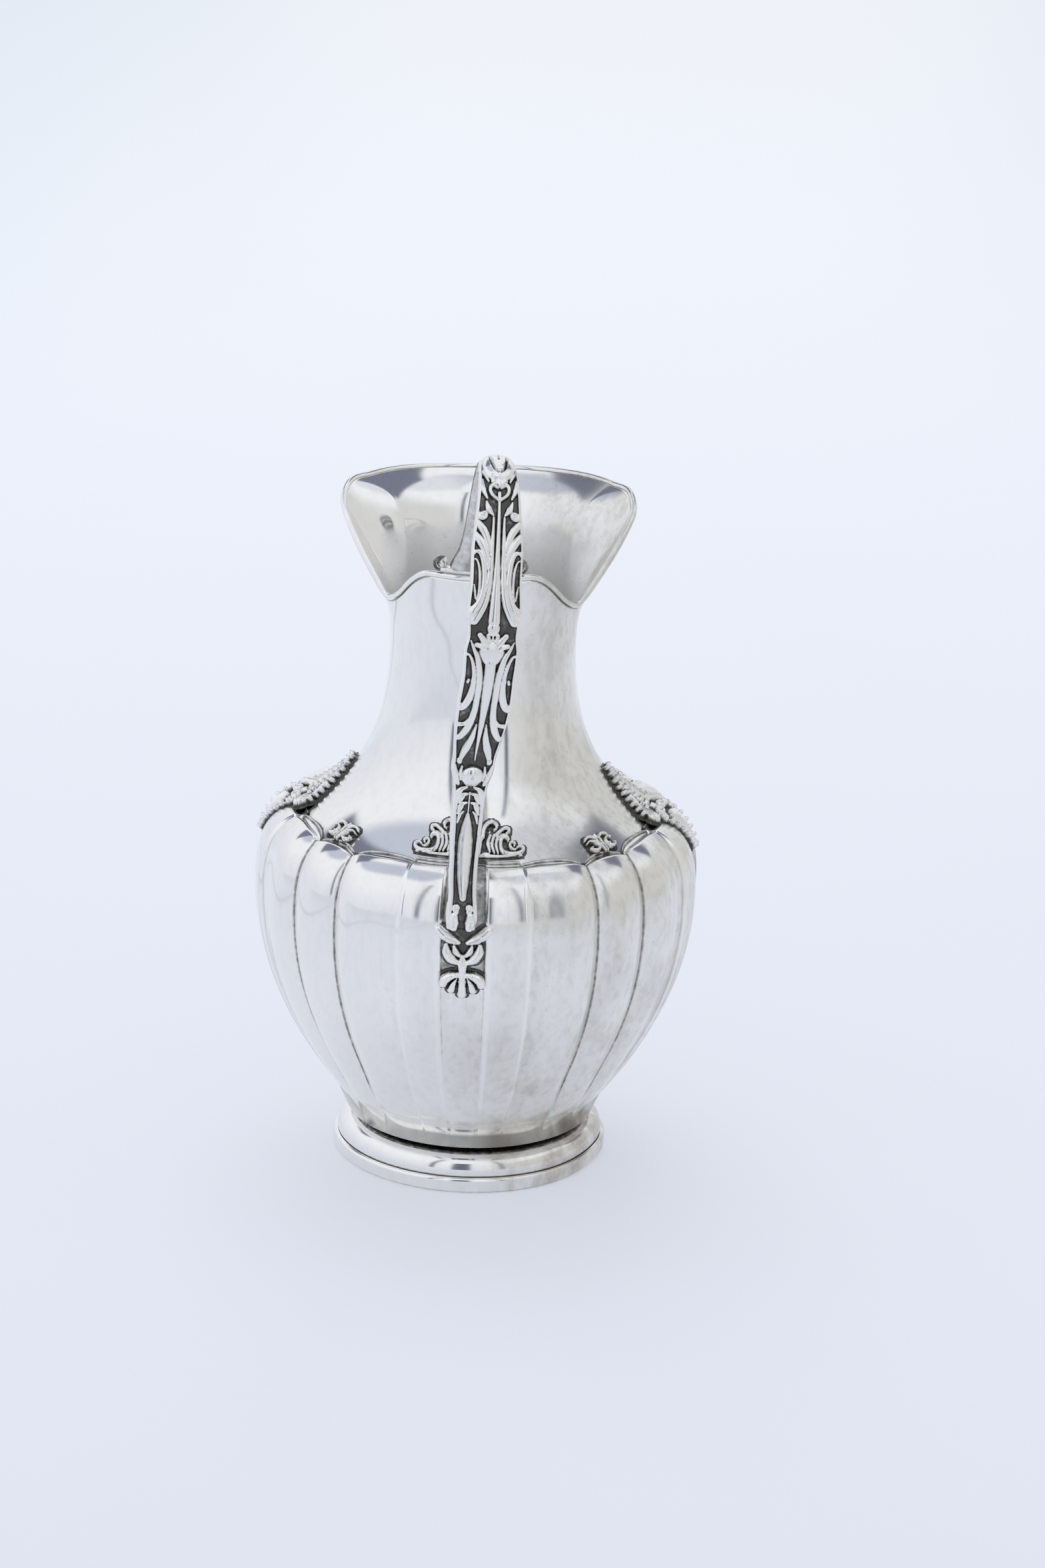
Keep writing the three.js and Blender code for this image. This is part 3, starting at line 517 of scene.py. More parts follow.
# Painted highlights along the bands' ridges, and painted shade in the hollows, carried as the painted sheen.
painted_highlight_lines = (1 - abs(from_panel - PANEL_EDGE - 1) / 0.9).most(0)
painted_highlight_lines = painted_highlight_lines + (1 - abs(from_panel - BAND_EDGE) / 0.9).most(0)
painted_shade_hollows = in_panel + in_lobe * (1 - across_lobe.smooth(0.05, 0.4)) + in_band * (1 - abs(across_band)) * 0.5
painted_sheen = (painted_highlight_lines - 0.8 * painted_shade_hollows * (1 - painted_highlight_lines)) * height.smooth(24, 44) * (1 - inside)
# Painted shadow in the sunk panel behind the handle.
by_handle = (1 - angle.smooth(8, 9)) + angle.smooth(351, 352)
below_recess = (RECESS_FOOT - height).most(0) / RECESS_DROP
from_recess = ((from_panel / PANEL_EDGE) ** 2 + below_recess**2) ** 0.5
panel_dark = panel_dark + 0.66 * (1 - from_recess.smooth(0.9, 1.05)) * by_handle
# Painted shade in the collar's hollow above the foot.
collar_dark = 0.8 * on_collar * (1 - height.smooth(COLLAR_FOOT + 0.4, COLLAR_FOOT + 2.6))
dark = (crease_dark + edge_dark * on_turn + panel_dark + collar_dark) * (1 - inside) + inside * 0.25
turn_round = angle * math.radians(1)
spot = start.node(
    "ShaderNodeCombineXYZ",
    {},
    {
        "X": radius * start.maths("SINE", turn_round) * MILLIMETRE + axis_x,
        "Y": axis_y - radius * start.maths("COSINE", turn_round) * MILLIMETRE,
        "Z": height * MILLIMETRE,
    },
)
shaped = sheet_grid
for mark, amount in (("patina_and_shade", dark), ("painted_sheen", painted_sheen)):
    shaped = start.node(
        "GeometryNodeStoreNamedAttribute",
        {"data_type": "FLOAT", "domain": "POINT"},
        {"Geometry": shaped, "Name": mark, "Value": amount},
    )
shaped = start.node("GeometryNodeSetPosition", {}, {"Geometry": shaped, "Position": spot})
shaped = start.node("GeometryNodeMergeByDistance", {}, {"Geometry": shaped, "Distance": MERGE_REACH})
shaped = start.node("GeometryNodeSetShadeSmooth", {}, {"Geometry": shaped})
shaped = start.node("GeometryNodeRealizeInstances", {}, {"Geometry": shaped})


def grow(name, tree, shaped, sizes, material, path=None):
    """Ends a tree in a metal, grows it with its sizes set, and leaves a plain mesh."""
    finish = Flow(tree)
    shaped = finish.node("GeometryNodeSetMaterial", {}, {"Geometry": shaped, "Material": material})
    finish.node("NodeGroupOutput", {}, {"Geometry": shaped}, None)
    source = bpy.data.objects.new(name + "_source", path or bpy.data.meshes.new(name))
    bpy.context.scene.collection.objects.link(source)
    grower = source.modifiers.new("grow", "NODES")
    grower.node_group = tree
    for item in tree.interface.items_tree:
        if item.in_out == "INPUT" and item.name in sizes:
            grower[item.identifier] = sizes[item.name]
    seen = bpy.context.evaluated_depsgraph_get()
    grown = bpy.data.meshes.new_from_object(source.evaluated_get(seen))
    bpy.data.objects.remove(source)
    grown.name = name
    piece = bpy.data.objects.new(name, grown)
    bpy.context.scene.collection.objects.link(piece)
    return piece


bowl_silver = silver("bowl_silver", 0.9, 0.10, 0.07)
bowl = grow("lobed_bowl", bowl_tree, shaped, bowl_sizes, bowl_silver)
hand_over(bowl, "bowl", None)

# Neck: a sheet of silver raised to a hollow shoulder, a straight neck and a mouth that opens into a wide
# spout in front. Its skirt goes under the bowl's edge and is soldered there.

NECK_RADIUS = 32.0
NECK_TOP = 187.0
NECK_PULL = 38.5
SHOULDER_SLOPE = math.radians(24.7)
SHOULDER_PULL = 26.4
SKIRT = 1.2
FLARE_START = 199.2
FLARE_SLOPE = 0.6
FLARE_SOFTNESS = 3.0
REAR_FLARE = 0.215
LIP_LEAN = 3.2
LIP_REACH = 13.2
LIP_TURN = 5
LIP_START = 100.0
LIP_FULL = 122.0
LIP_DROP = 1.2
REAR_RIM = 216.8
NOTCH_RIM = 202.7
FRONT_RIM = 236.0
PLATEAU_ANGLE = 28.0
NOTCH_ANGLE = 70.0
FUNNEL_ANGLE = 116.0
RIM_EASING = 1.75
RIM_ROUNDING = 2.4
SATIN_TOP = 207.0
SATIN_FRONT_RISE = 12.0
SATIN_SHARE = 0.62
SATIN_SOFTNESS = 3.0
NECK_COLUMNS = 440
SHOULDER_ROWS = 66
MOUTH_ROWS = 46


def mixed(start, end, share):
    """The value between two others at a share."""
    return start + (end - start) * share


def from_handle(angle):
    """Degrees from the handle on either side, from 0 to 180."""
    return np.abs((np.asarray(angle) + 180) % 360 - 180)


def lip_share(angle):
    """How much of the pouring lip there is at an angle, from 0 to 1."""
    return smoothstep(from_handle(angle), 120, 180)


def mouth_radius(height, angle):
    """The neck's outer radius above the shoulder: a cone at the sides, and a steep front that turns out
    at the lip."""
    rise = FLARE_SOFTNESS * np.log1p(np.exp((height - FLARE_START) / FLARE_SOFTNESS))
    climb = rise / (FRONT_RIM - FLARE_START)
    away = from_handle(angle)
    spread = mixed(REAR_FLARE, 1, smoothstep(away, NOTCH_ANGLE - 18, NOTCH_ANGLE + 9))
    front = LIP_LEAN * climb + LIP_REACH * climb**LIP_TURN
    return NECK_RADIUS + mixed(FLARE_SLOPE * rise * spread, front, smoothstep(away, LIP_START, LIP_FULL))


def rim_height(angle):
    """The cut edge of the mouth: a level back, a notch on each side and a high spout."""
    away = from_handle(angle)
    back = mixed(REAR_RIM, NOTCH_RIM, smoothstep(away, PLATEAU_ANGLE, NOTCH_ANGLE))
    climb = np.clip((away - NOTCH_ANGLE) / (FUNNEL_ANGLE - NOTCH_ANGLE), 0, 1)
    front = mixed(NOTCH_RIM, FRONT_RIM, 1 - (1 - climb**RIM_EASING) ** RIM_ROUNDING)
    return np.where(away < NOTCH_ANGLE, back, front) - LIP_DROP * lip_share(angle)


def bowl_edge(angle):
    """The radius of the bowl's scalloped edge, as the bowl's own tree makes it."""
    away = np.abs((angle + 45) % 90 - 45)
    lobe = np.clip((away - BAND_EDGE) / (CREASE - BAND_EDGE), 0, 1)
    corner = (45 - away) / (45 - CREASE)
    wide = np.where(lobe > 0, 1.5 * (1 - lobe) ** 3 + (CUSP_RADIUS - EDGE_RADIUS) * lobe**6, 0)
    return np.where(away < CREASE, EDGE_RADIUS + wide, mixed(CORNER_RADIUS, CUSP_RADIUS, corner**2))


def shoulder_line(steps):
    """Radii and heights from the skirt up to the straight neck."""
    t = np.linspace(0, 1, steps)
    pull = (math.cos(SHOULDER_SLOPE) * SHOULDER_PULL, math.sin(SHOULDER_SLOPE) * SHOULDER_PULL)
    radii = (SHOULDER_RADIUS, SHOULDER_RADIUS - pull[0], NECK_RADIUS, NECK_RADIUS)
    heights = (SHOULDER_FOOT, SHOULDER_FOOT + pull[1], NECK_TOP - NECK_PULL, NECK_TOP)
    weights = ((1 - t) ** 3, 3 * t * (1 - t) ** 2, 3 * t * t * (1 - t), t**3)
    return [sum(w * v for w, v in zip(weights, values)) for values in (radii, heights)]


neck_angle = np.arange(NECK_COLUMNS) * 360 / NECK_COLUMNS
line_radius, line_height = shoulder_line(400)
line_share = np.linspace(0, 1, 400)
skirt_share = np.interp(-(bowl_edge(neck_angle) + SKIRT), -line_radius, line_share)
rise = np.linspace(0, 1, SHOULDER_ROWS, endpoint=False)[:, None] ** 1.6
shares = mixed(skirt_share[None], 1, rise)
shoulder = np.interp(shares, line_share, line_radius), np.interp(shares, line_share, line_height)
climb = 1 - np.linspace(1, 0, MOUTH_ROWS)[:, None] ** 1.5
mouth_height = mixed(NECK_TOP, rim_height(neck_angle)[None], climb)
mouth = mouth_radius(mouth_height, neck_angle[None]), mouth_height
outer_radius, outer_height = (np.concatenate(pair) for pair in zip(shoulder, mouth))
tangent_r, tangent_z = np.gradient(outer_radius, axis=0), np.gradient(outer_height, axis=0)
length = np.hypot(tangent_r, tangent_z)
inner_radius = outer_radius - SHEET * tangent_z / length
inner_height = outer_height + SHEET * tangent_r / length
skin = on_vessel(outer_radius, outer_height, neck_angle[None])
lining = on_vessel(inner_radius, inner_height, neck_angle[None])[::-1]
past_edge = bowl_edge(neck_angle)[None] - outer_radius
seam_dark = np.clip(1 - np.abs(past_edge - 0.15) / 0.55, 0, 1) * 0.95
seam_dark += 0.35 * np.clip(1 - np.abs(past_edge - 1.0) / 1.6, 0, 1)
neck_dark = np.concatenate([seam_dark, np.full(seam_dark.shape, 0.05)])
neck = join_rings("neck_and_spout", np.concatenate([skin, lining]), True, neck_dark)
away = from_handle(neck_angle)[None]
satin_edge = SATIN_TOP + SATIN_FRONT_RISE * smoothstep(away, 98, 112)
satin_edge = satin_edge - 2.2 * np.exp(-(((180 - away) / 16) ** 2))
satin = 1 - smoothstep(inner_height[::-1], satin_edge - SATIN_SOFTNESS, satin_edge + SATIN_SOFTNESS)
satin = np.concatenate([np.zeros(satin.shape), SATIN_SHARE * satin])
neck.data.attributes.new("satin", "FLOAT", "POINT").data.foreach_set("value", satin.ravel())
neck_silver = silver("neck_silver", 1.0, 0.08, 0.05, 0.008, 0.026)
hand_over(neck, "neck", neck_silver)

# Rim wire: a round wire of silver soldered all round the cut edge of the mouth, to stiffen it. It is bent
# to the level back, the two notches and the spout.

RIM_WIRE_RADIUS = 1.1
RIM_WIRE_SEAT = 1.45
RIM_WIRE_SIDES = 20

cut_edge = (skin[-1] + lining[0]) / 2
edge_way = np.roll(cut_edge, -1, 0) - np.roll(cut_edge, 1, 0)
off_edge = np.cross(skin[-1] - lining[0], edge_way)
off_edge /= np.linalg.norm(off_edge, axis=1)[:, None]
wire_path = cut_edge + off_edge * RIM_WIRE_SEAT * MILLIMETRE
rim_curve = bpy.data.curves.new("rim_path", "CURVE")
rim_curve.dimensions = "3D"
rim_spline = rim_curve.splines.new("POLY")
rim_spline.points.add(len(wire_path) - 1)
for spot, path_point in zip(wire_path, rim_spline.points):
    path_point.co = (*spot, 1)
rim_spline.use_cyclic_u = True

rim_tree = bpy.data.node_groups.new("rim_wire", "GeometryNodeTree")
rim_tree.interface.new_socket(name="Geometry", in_out="OUTPUT", socket_type="NodeSocketGeometry")
rim_tree.interface.new_socket(name="Geometry", in_out="INPUT", socket_type="NodeSocketGeometry")
rim_tree.interface.new_socket(name="Wire Radius", in_out="INPUT", socket_type="NodeSocketFloat")
start = Flow(rim_tree)
given = rim_tree.nodes.new("NodeGroupInput")
section = start.node(
    "GeometryNodeCurvePrimitiveCircle",
    {},
    {"Resolution": RIM_WIRE_SIDES, "Radius": Flow(rim_tree, given.outputs["Wire Radius"])},
)
drawn = start.node(
    "GeometryNodeCurveToMesh",
    {},
    {"Curve": Flow(rim_tree, given.outputs["Geometry"]), "Profile Curve": section},
)
drawn = start.node("GeometryNodeSetShadeSmooth", {}, {"Geometry": drawn})
drawn = start.node("GeometryNodeRealizeInstances", {}, {"Geometry": drawn})
rim_wire = grow(
    "rim_wire_bent", rim_tree, drawn, {"Wire Radius": RIM_WIRE_RADIUS * MILLIMETRE}, neck_silver, rim_curve
)
hand_over(rim_wire, "rim_wire", None)

# Handle: one solid silver casting, a strap that rises from the back of the rim, bows out and comes down to
# the belly. Its outer face is chased with scrolls and leaves, and black is left in the hollows, with painted
# shade down the flanks of the forms.

HANDLE_THICKNESS = 5.5
BARE_STATIONS = 110
CHASED_STATIONS = 1030
CHASED_FROM = 40.0
FACE_COLUMNS = 76
BACK_COLUMNS = 9
GROUND = -0.85
FULLNESS = 1.38
HANDLE_DRIFT = 1.8
HANDLE_ROOT = (0, -33.9, 221.9)
HANDLE_END = (0, -79.55, 110.85)
HANDLE_BOW = 41.0
HANDLE_SWAY = math.radians(-10)
HANDLE_BENDS = (
    (0, 0), (-0.13, 0.244), (-0.228, 0.5), (-0.249, 0.732), (-0.178, 0.927), (-0.022, 1), (0.139, 1),
    (0.279, 0.902), (0.413, 0.707), (0.527, 0.488), (0.621, 0.324), (0.715, 0.224), (0.846, 0.132),
    (0.947, 0.073), (1, 0),
)
HALF_WIDTHS = (
    (0, 10.9), (3, 8.4), (12, 6.7), (30, 6.1), (43, 5.8), (55, 6.6), (65, 7.4), (76, 8.4), (88, 8.3),
    (97, 9.0), (101, 8.3), (105, 8.0), (109, 8.9), (118, 8.5), (128, 8.9), (137, 8.3), (148, 6.9),
    (153, 7.0), (158, 5.6), (168, 5.3), (184, 4.8), (196, 4.6), (204, 5.3), (208, 4.6),
)


def smooth_line(points, spacing):
    """Evenly spaced points along a smooth curve through the given ones."""
    points = np.asarray(points, float)
    padded = np.vstack([2 * points[0] - points[1], points, 2 * points[-1] - points[-2]])
    t = np.linspace(0, 1, 24, endpoint=False)[:, None]
    runs = []
    for a, b, c, d in zip(padded, padded[1:], padded[2:], padded[3:]):
        bend = (2 * a - 5 * b + 4 * c - d) * t**2 + (3 * b - a - 3 * c + d) * t**3
        runs.append(b + ((c - a) * t + bend) / 2)
    line = np.vstack(runs + [points[-1:]])
    travel = np.r_[0, np.cumsum(np.linalg.norm(np.diff(line, axis=0), axis=1))]
    even = np.linspace(0, travel[-1], max(2, round(travel[-1] / spacing) + 1))
    return np.stack([np.interp(even, travel, column) for column in line.T], -1)


def curl(x, y, radius, start, turns):
    """Points along a scroll that winds in round a middle, from an angle in degrees."""
    share = np.linspace(0, 1, 14)
    turn = np.radians(start + 360 * turns * share)
    reach = radius * (1 - 0.78 * share)
    return np.stack([x + reach * np.cos(turn), y + reach * np.sin(turn)], -1)


class Relief:
    """Heights in millimetres over a field of cast metal, chased alike on both sides of its middle."""

    def __init__(self, across, along, ground):
        self.across = across
        self.along = along
        self.ground = ground
        self.height = np.full((len(along), len(across)), float(ground))

    def strokes(self, points, widths):
        """The places near a tapering stroke and its mirror image, with how far across it each one is."""
        line = smooth_line(points, 0.12)
        width = np.interp(np.linspace(0, 1, len(line)), np.linspace(0, 1, len(widths)), widths)
        margin = width.max()
        for side in (1, -1) if np.abs(line[:, 0]).max() > 0.01 else (1,):
            x, y = line[:, 0] * side, line[:, 1]
            columns = slice(*np.searchsorted(self.across, [x.min() - margin, x.max() + margin]))
            rows = slice(*np.searchsorted(self.along, [y.min() - margin, y.max() + margin]))
            if rows.start == rows.stop or columns.start == columns.stop:
                continue
            gap_x = self.across[columns][None, :, None] - x
            gap_y = self.along[rows][:, None, None] - y
            reach = np.hypot(gap_x, gap_y) / width
            nearest = reach.argmin(-1)
            yield self.height[rows, columns], reach.min(-1), np.sqrt(width[nearest] / margin)

    def ridge(self, points, widths, rise):
        """Raises a rounded form along a stroke, up from the ground."""
        for field, reach, taper in self.strokes(points, widths):
            top = self.ground + (rise * taper - self.ground) * np.clip(1 - reach**2, 0, 1) ** 0.45
            np.maximum(field, top, out=field)

    def groove(self, points, widths, depth):
        """Cuts a groove along a stroke."""
        for field, reach, taper in self.strokes(points, widths):
            field -= depth * taper * np.clip(1 - reach**2, 0, 1)

    def leaf(self, points, widths, rise):
        """Raises a leaf with a vein along its middle."""
        self.ridge(points, widths, rise)
        self.groove(points, [width * 0.3 for width in widths], rise * 0.45)

    def oxide_and_painted_shade(self, low, high):
        """How black the metal is: black oxide in hollows that are never rubbed, and painted shade down the
        flanks of the forms, so that only the tops stay bright.
        """
        around = self.height.copy()
        for axis in (0, 1):
            around = sum(np.roll(around, step, axis) for step in range(-5, 6)) / 11
        sunk = np.clip((around - self.height) / 0.7, 0, 1)
        return np.clip(0.55 * sunk + 1 - smoothstep(self.height, low, high), 0, 1)


root, end = np.array(HANDLE_ROOT, float), np.array(HANDLE_END, float)
chord = end - root
chord_way = chord / np.linalg.norm(chord)
level_bow = np.cross(chord_way, (1, 0, 0))
level_bow /= np.linalg.norm(level_bow)
bow_way = level_bow * math.cos(HANDLE_SWAY) + np.cross(chord_way, level_bow) * math.sin(HANDLE_SWAY)
across_way = np.cross(chord_way, bow_way)
bends = [root + chord * share + bow_way * HANDLE_BOW * bow for share, bow in HANDLE_BENDS]
strap = smooth_line(bends, 0.05)
handle_length = np.linalg.norm(np.diff(strap, axis=0), axis=1).sum()
along = np.concatenate([
    np.linspace(0, CHASED_FROM, BARE_STATIONS, endpoint=False),
    np.linspace(CHASED_FROM, handle_length, CHASED_STATIONS),
])
strap = np.stack([np.interp(along, np.linspace(0, handle_length, len(strap)), c) for c in strap.T], -1)
drift = HANDLE_DRIFT * (smoothstep(along, 112, 160) - 0.45 * smoothstep(along, 186, 207))
strap = strap + across_way * drift[:, None]
strap_way = np.gradient(strap, axis=0)
strap_way /= np.linalg.norm(strap_way, axis=1)[:, None]
outward = np.cross(across_way, strap_way)
half_width = np.interp(along, *zip(*HALF_WIDTHS))
half_width = np.convolve(np.pad(half_width, 10, "edge"), np.ones(21) / 21, "valid")

face = Relief(np.linspace(-11, 11, 221), along, GROUND)
for points, widths, rise in (
    ([(0, 2), (0, 22), (0, 40)], [2.2, 1.3, 0.9], 0.5),
    ([(0, 45.2), (0, 49.3)], [3.9, 4.0], 2.0),
    ([(0, 53.5), (0, 54.2)], [2.2, 2.2], 1.2),
    ([(0, 55.2), (1.7, 55.5), (2.9, 56.5), (3.0, 57.9), (2.2, 59.2), (0.7, 60.4)],
     [0.7, 0.65, 0.6, 0.55, 0.55, 0.5], 1.0),
    ([(0, 58.4), (0, 60.8)], [0.6, 0.55], 0.5),
    (curl(5.2, 65.5, 1.5, -10, 1.1), [0.7, 0.6, 0.5], 0.7),
    ([(0, 61), (0, 70), (0, 80), (0, 90), (0, 96), (0, 99.6)], [0.5, 0.55, 0.65, 0.9, 1.3, 1.6], 0.7),
    ([(1.8, 66.4), (1.8, 71), (2.0, 77.6), (2.2, 84), (2.7, 89.6), (3.7, 94.2), (5.2, 97.4), (6.6, 99.6)],
     [0.4, 0.5, 0.65, 0.75, 0.85, 1.0, 1.15, 1.3], 0.7),
    ([(2.5, 79.4), (3.2, 75.1), (4.3, 71.7), (5.8, 69.3), (7.2, 67.9)], [0.4, 0.75, 0.95, 1.1, 0.8], 0.75),
    ([(2.5, 85.2), (3.3, 80.4), (4.4, 76.9), (6.0, 74.0), (7.6, 72.1)], [0.3, 0.6, 0.9, 1.1, 0.9], 0.75),
    ([(7.9, 80.8), (8.1, 79.1), (7.2, 77.7), (5.8, 78.0), (4.7, 80.4), (4.1, 84.1), (4.0, 88.2), (4.6, 92.2),
      (5.9, 95.2), (7.4, 97.0), (8.4, 97.7)],
     [0.35, 0.5, 0.7, 0.75, 0.75, 0.75, 0.8, 0.85, 0.95, 1.2, 1.4], 0.85),
    ([(7.2, 80.1), (6.5, 80.9), (5.8, 83.4), (5.5, 87.1), (5.7, 90.9), (6.2, 93.2)],
     [0.3, 0.4, 0.45, 0.45, 0.4, 0.3], 0.4),
    ([(7.2, 88.4), (6.9, 90.5), (6.7, 92.8)], [0.25, 0.4, 0.3], 0.2),
    ([(0, 101.9), (0, 102.6)], [1.7, 1.5], 0.9),
    ([(4.3, 104.2), (2.7, 106.2), (0.9, 108.5)], [0.8, 0.95, 0.5], 0.85),
    ([(5.1, 107.3), (3.2, 107.9), (1.2, 109.3)], [0.7, 0.9, 0.6], 0.8),
    ([(1.6, 104.1), (0.8, 108)], [0.6, 0.5], 0.65),
    ([(0, 104.5), (0, 108.5)], [0.35, 0.5], 0.5),
    ([(0, 109.2), (0, 110.4), (0, 112.3)], [3.2, 2.6, 1.0], 0.85),
    ([(0, 113.4), (0, 120.5), (0, 129.7), (0, 139.5), (0, 148)], [1.5, 1.4, 1.0, 0.6, 0.3], 0.6),
    ([(7.0, 106.2), (6.2, 108.2), (4.4, 111.9), (3.2, 117.5), (3.0, 123.8), (3.2, 130.5), (4.4, 135.8),
      (6.1, 139.2), (7.4, 139.9)],
     [0.3, 0.7, 0.9, 0.9, 0.9, 0.9, 1.0, 1.05, 0.8], 0.7),
    ([(8.3, 110.8), (7.4, 110.6), (6.2, 112.5), (5.2, 116.3), (5.0, 120.8), (5.5, 125), (6.6, 127.9),
      (7.9, 129), (8.5, 127.8)],
     [0.35, 0.5, 0.6, 0.65, 0.75, 0.9, 1.05, 1.0, 0.7], 0.8),
    ([(6.6, 119), (6.8, 119.8)], [0.5, 0.5], 0.2),
    ([(4.4, 132.6), (5.7, 134.4), (7.3, 134.9)], [0.3, 0.55, 0.7], 0.5),
    ([(4.9, 148.2), (4.9, 148.8)], [0.8, 0.8], 0.6),
    ([(0, 153.9), (0, 154.5)], [2.7, 2.7], 2.1),
    ([(6.4, 150.4), (5.8, 154.1), (4.3, 157.2)], [0.6, 1.2, 0.6], 0.7),
    ([(3.8, 150.6), (4.0, 153), (3.6, 155.6)], [0.4, 0.6, 0.4], 0.3),
    ([(1.3, 158.4), (3.2, 159.6), (4.5, 163), (4.6, 168)], [0.5, 1.0, 0.9, 0.6], 0.6),
    ([(0.9, 160.9), (2.2, 161.6), (3.2, 164.2)], [0.5, 0.9, 0.5], 0.6),
    ([(1.0, 164.2), (2.3, 165), (3.4, 168.2)], [0.5, 0.9, 0.4], 0.55),
    ([(1.6, 167.4), (2.7, 168.8), (3.3, 171.4)], [0.35, 0.6, 0.3], 0.4),
    ([(0, 160.4), (0, 168)], [0.35, 0.3], 0.2),
    ([(0, 168.4), (0, 170), (0, 172.5), (0, 178), (0, 186), (0, 194), (0, 197)],
     [0.6, 1.5, 2.0, 2.0, 1.8, 1.5, 1.0], 0.3),
    (curl(1.9, 200.2, 1.1, 90, -1.0), [0.7, 0.6, 0.5], 0.9),
    ([(2.6, 202.6), (2.8, 204.8), (2.6, 207)], [1.0, 1.5, 1.0], 1.7),
):
    face.ridge(points, [FULLNESS * width for width in widths], rise)
for step in (8, 15, 22, 29, 36):
    face.leaf([(1.2, step), (3.0, step - 2.5), (4.4, step - 5.5)], [0.6, 1.3, 0.4], 0.6)
face.leaf([(5.0, 46.5), (4.9, 51), (3.6, 54.5)], [0.4, 1.0, 0.5], 0.3)
face.leaf([(5.6, 54), (5.2, 57.5), (4.0, 60.2)], [0.4, 1.0, 0.5], 0.4)
face.leaf([(4.3, 61.3), (3.5, 63.5), (1.9, 65.7)], [0.5, 1.3, 0.5], 0.8)
face.leaf([(1.6, 134.5), (2.4, 140.1), (3.9, 144.9), (4.9, 148.4)], [0.4, 1.2, 1.6, 0.9], 0.4)
face.groove([(2.5, 43.0), (2.7, 46.6), (1.9, 50.6), (0.5, 52.0)], [0.3, 0.5, 0.5, 0.4], 2.0)
face.groove([(0, 43.6), (0, 47.2)], [0.3, 0.4], 1.9)
face.groove([(0, 56.7), (0, 57.2)], [0.35, 0.35], 0.8)
face.groove([(0, 153.4), (0, 154.2)], [0.35, 0.5], 0.7)
face.groove([(2.8, 204), (2.9, 206)], [0.3, 0.4], 0.6)
from_edge = half_width[:, None] - np.abs(face.across)[None]
border_width = 0.9 + 0.7 * smoothstep(along, 158, 170)[:, None]
border = 1 - smoothstep(from_edge, border_width - 0.3, border_width + 0.3)
border = border * smoothstep(along, 38, 46)[:, None]
face.height = np.maximum(face.height, mixed(GROUND, 0.25, border))
# Black oxide in the hollows and painted shade on the flanks of the forms.
face_dark = face.oxide_and_painted_shade(GROUND + 0.2, 0.6)

share = np.linspace(-1, 1, FACE_COLUMNS)
x = share[None] * half_width[:, None]
spread = (x - face.across[0]) / (face.across[1] - face.across[0])
cell = np.clip(spread.astype(int), 0, len(face.across) - 2)
part = spread - cell
station = np.arange(len(along))[:, None]


def on_face(field):
    """A field's values at the places of the strap's outer face."""
    return field[station, cell] * (1 - part) + field[station, cell + 1] * part


off_sides = 1 - np.abs(share[None]) ** 20
lift = HANDLE_THICKNESS / 2 - 0.9 * np.abs(share[None]) ** 8 + on_face(face.height) * off_sides
back_share = np.linspace(1, -1, BACK_COLUMNS)
back_drop = -HANDLE_THICKNESS / 2 * (1 - 0.45 * np.abs(back_share) ** 6)
ring_x = np.concatenate([x, back_share[None] * half_width[:, None]], 1)
ring_lift = np.concatenate([lift, np.repeat(back_drop[None], len(along), 0)], 1)
rings = strap[:, None] + across_way * ring_x[..., None] + outward[:, None] * ring_lift[..., None]
rings = rings * MILLIMETRE + (axis_x, axis_y, 0)
handle_dark = np.concatenate([on_face(face_dark), np.full((len(along), BACK_COLUMNS), 0.5)], 1)
handle = join_rings("chased_handle", rings, False, handle_dark)
cast_silver = silver("cast_silver", 0.55, 0.14, 0.03)
hand_over(handle, "handle", cast_silver)

# Rim plate: the cast bar under the handle's root, bent to the rim and soldered on the wire. Its ends roll up
# into two small scrolls.

PLATE_RADIUS = 33.7
PLATE_HEIGHT = 220.7
PLATE_REACH = 13.6
PLATE_HALF_WIDTH = 1.9
PLATE_HALF_THICKNESS = 0.9
SCROLL_RADIUS = 1.9
PLATE_SIDES = 16

roll = np.radians(np.linspace(-90, 250, 24))
scroll_reach = SCROLL_RADIUS * np.linspace(1, 0.45, 24)
scroll = [
    (PLATE_REACH + r * math.cos(t), SCROLL_RADIUS + r * math.sin(t)) for r, t in zip(scroll_reach, roll)
]
bar = [(-x, z) for x, z in scroll[::-1]] + [(x, 0) for x in np.linspace(-12, 12, 25)] + scroll
bar = smooth_line(bar, 0.3)
bar_way = np.gradient(bar, axis=0)
bar_way /= np.linalg.norm(bar_way, axis=1)[:, None]
section = np.radians(np.arange(PLATE_SIDES) * 360 / PLATE_SIDES)
depth_way = np.sign(np.cos(section)) * np.abs(np.cos(section)) ** 0.7 * PLATE_HALF_WIDTH
thick_way = np.sign(np.sin(section)) * np.abs(np.sin(section)) ** 0.7 * PLATE_HALF_THICKNESS
bar_x = bar[:, :1] - bar_way[:, 1:] * thick_way
bar_z = bar[:, 1:] + bar_way[:, :1] * thick_way
rings = on_vessel(PLATE_RADIUS + depth_way[None], PLATE_HEIGHT + bar_z, np.degrees(bar_x / PLATE_RADIUS))
plate_dark = 0.35 + 0.5 * (np.abs(bar[:, :1]) > PLATE_REACH - 0.5)
plate = join_rings("rim_plate", rings, False, plate_dark * (thick_way[None] < 0.5))
hand_over(plate, "handle_rim_plate", cast_silver)

# Lower mount: a cast leaf ornament at the foot of the handle, with wings, paired leaves and a five-lobed
# drop. It is soldered into the bowl's sunk panel.

CASTING_FLOOR = -0.5
CASTING_BACK = -0.7
CASTING_CELL = 0.22
CASTING_SKIRT = 0.12


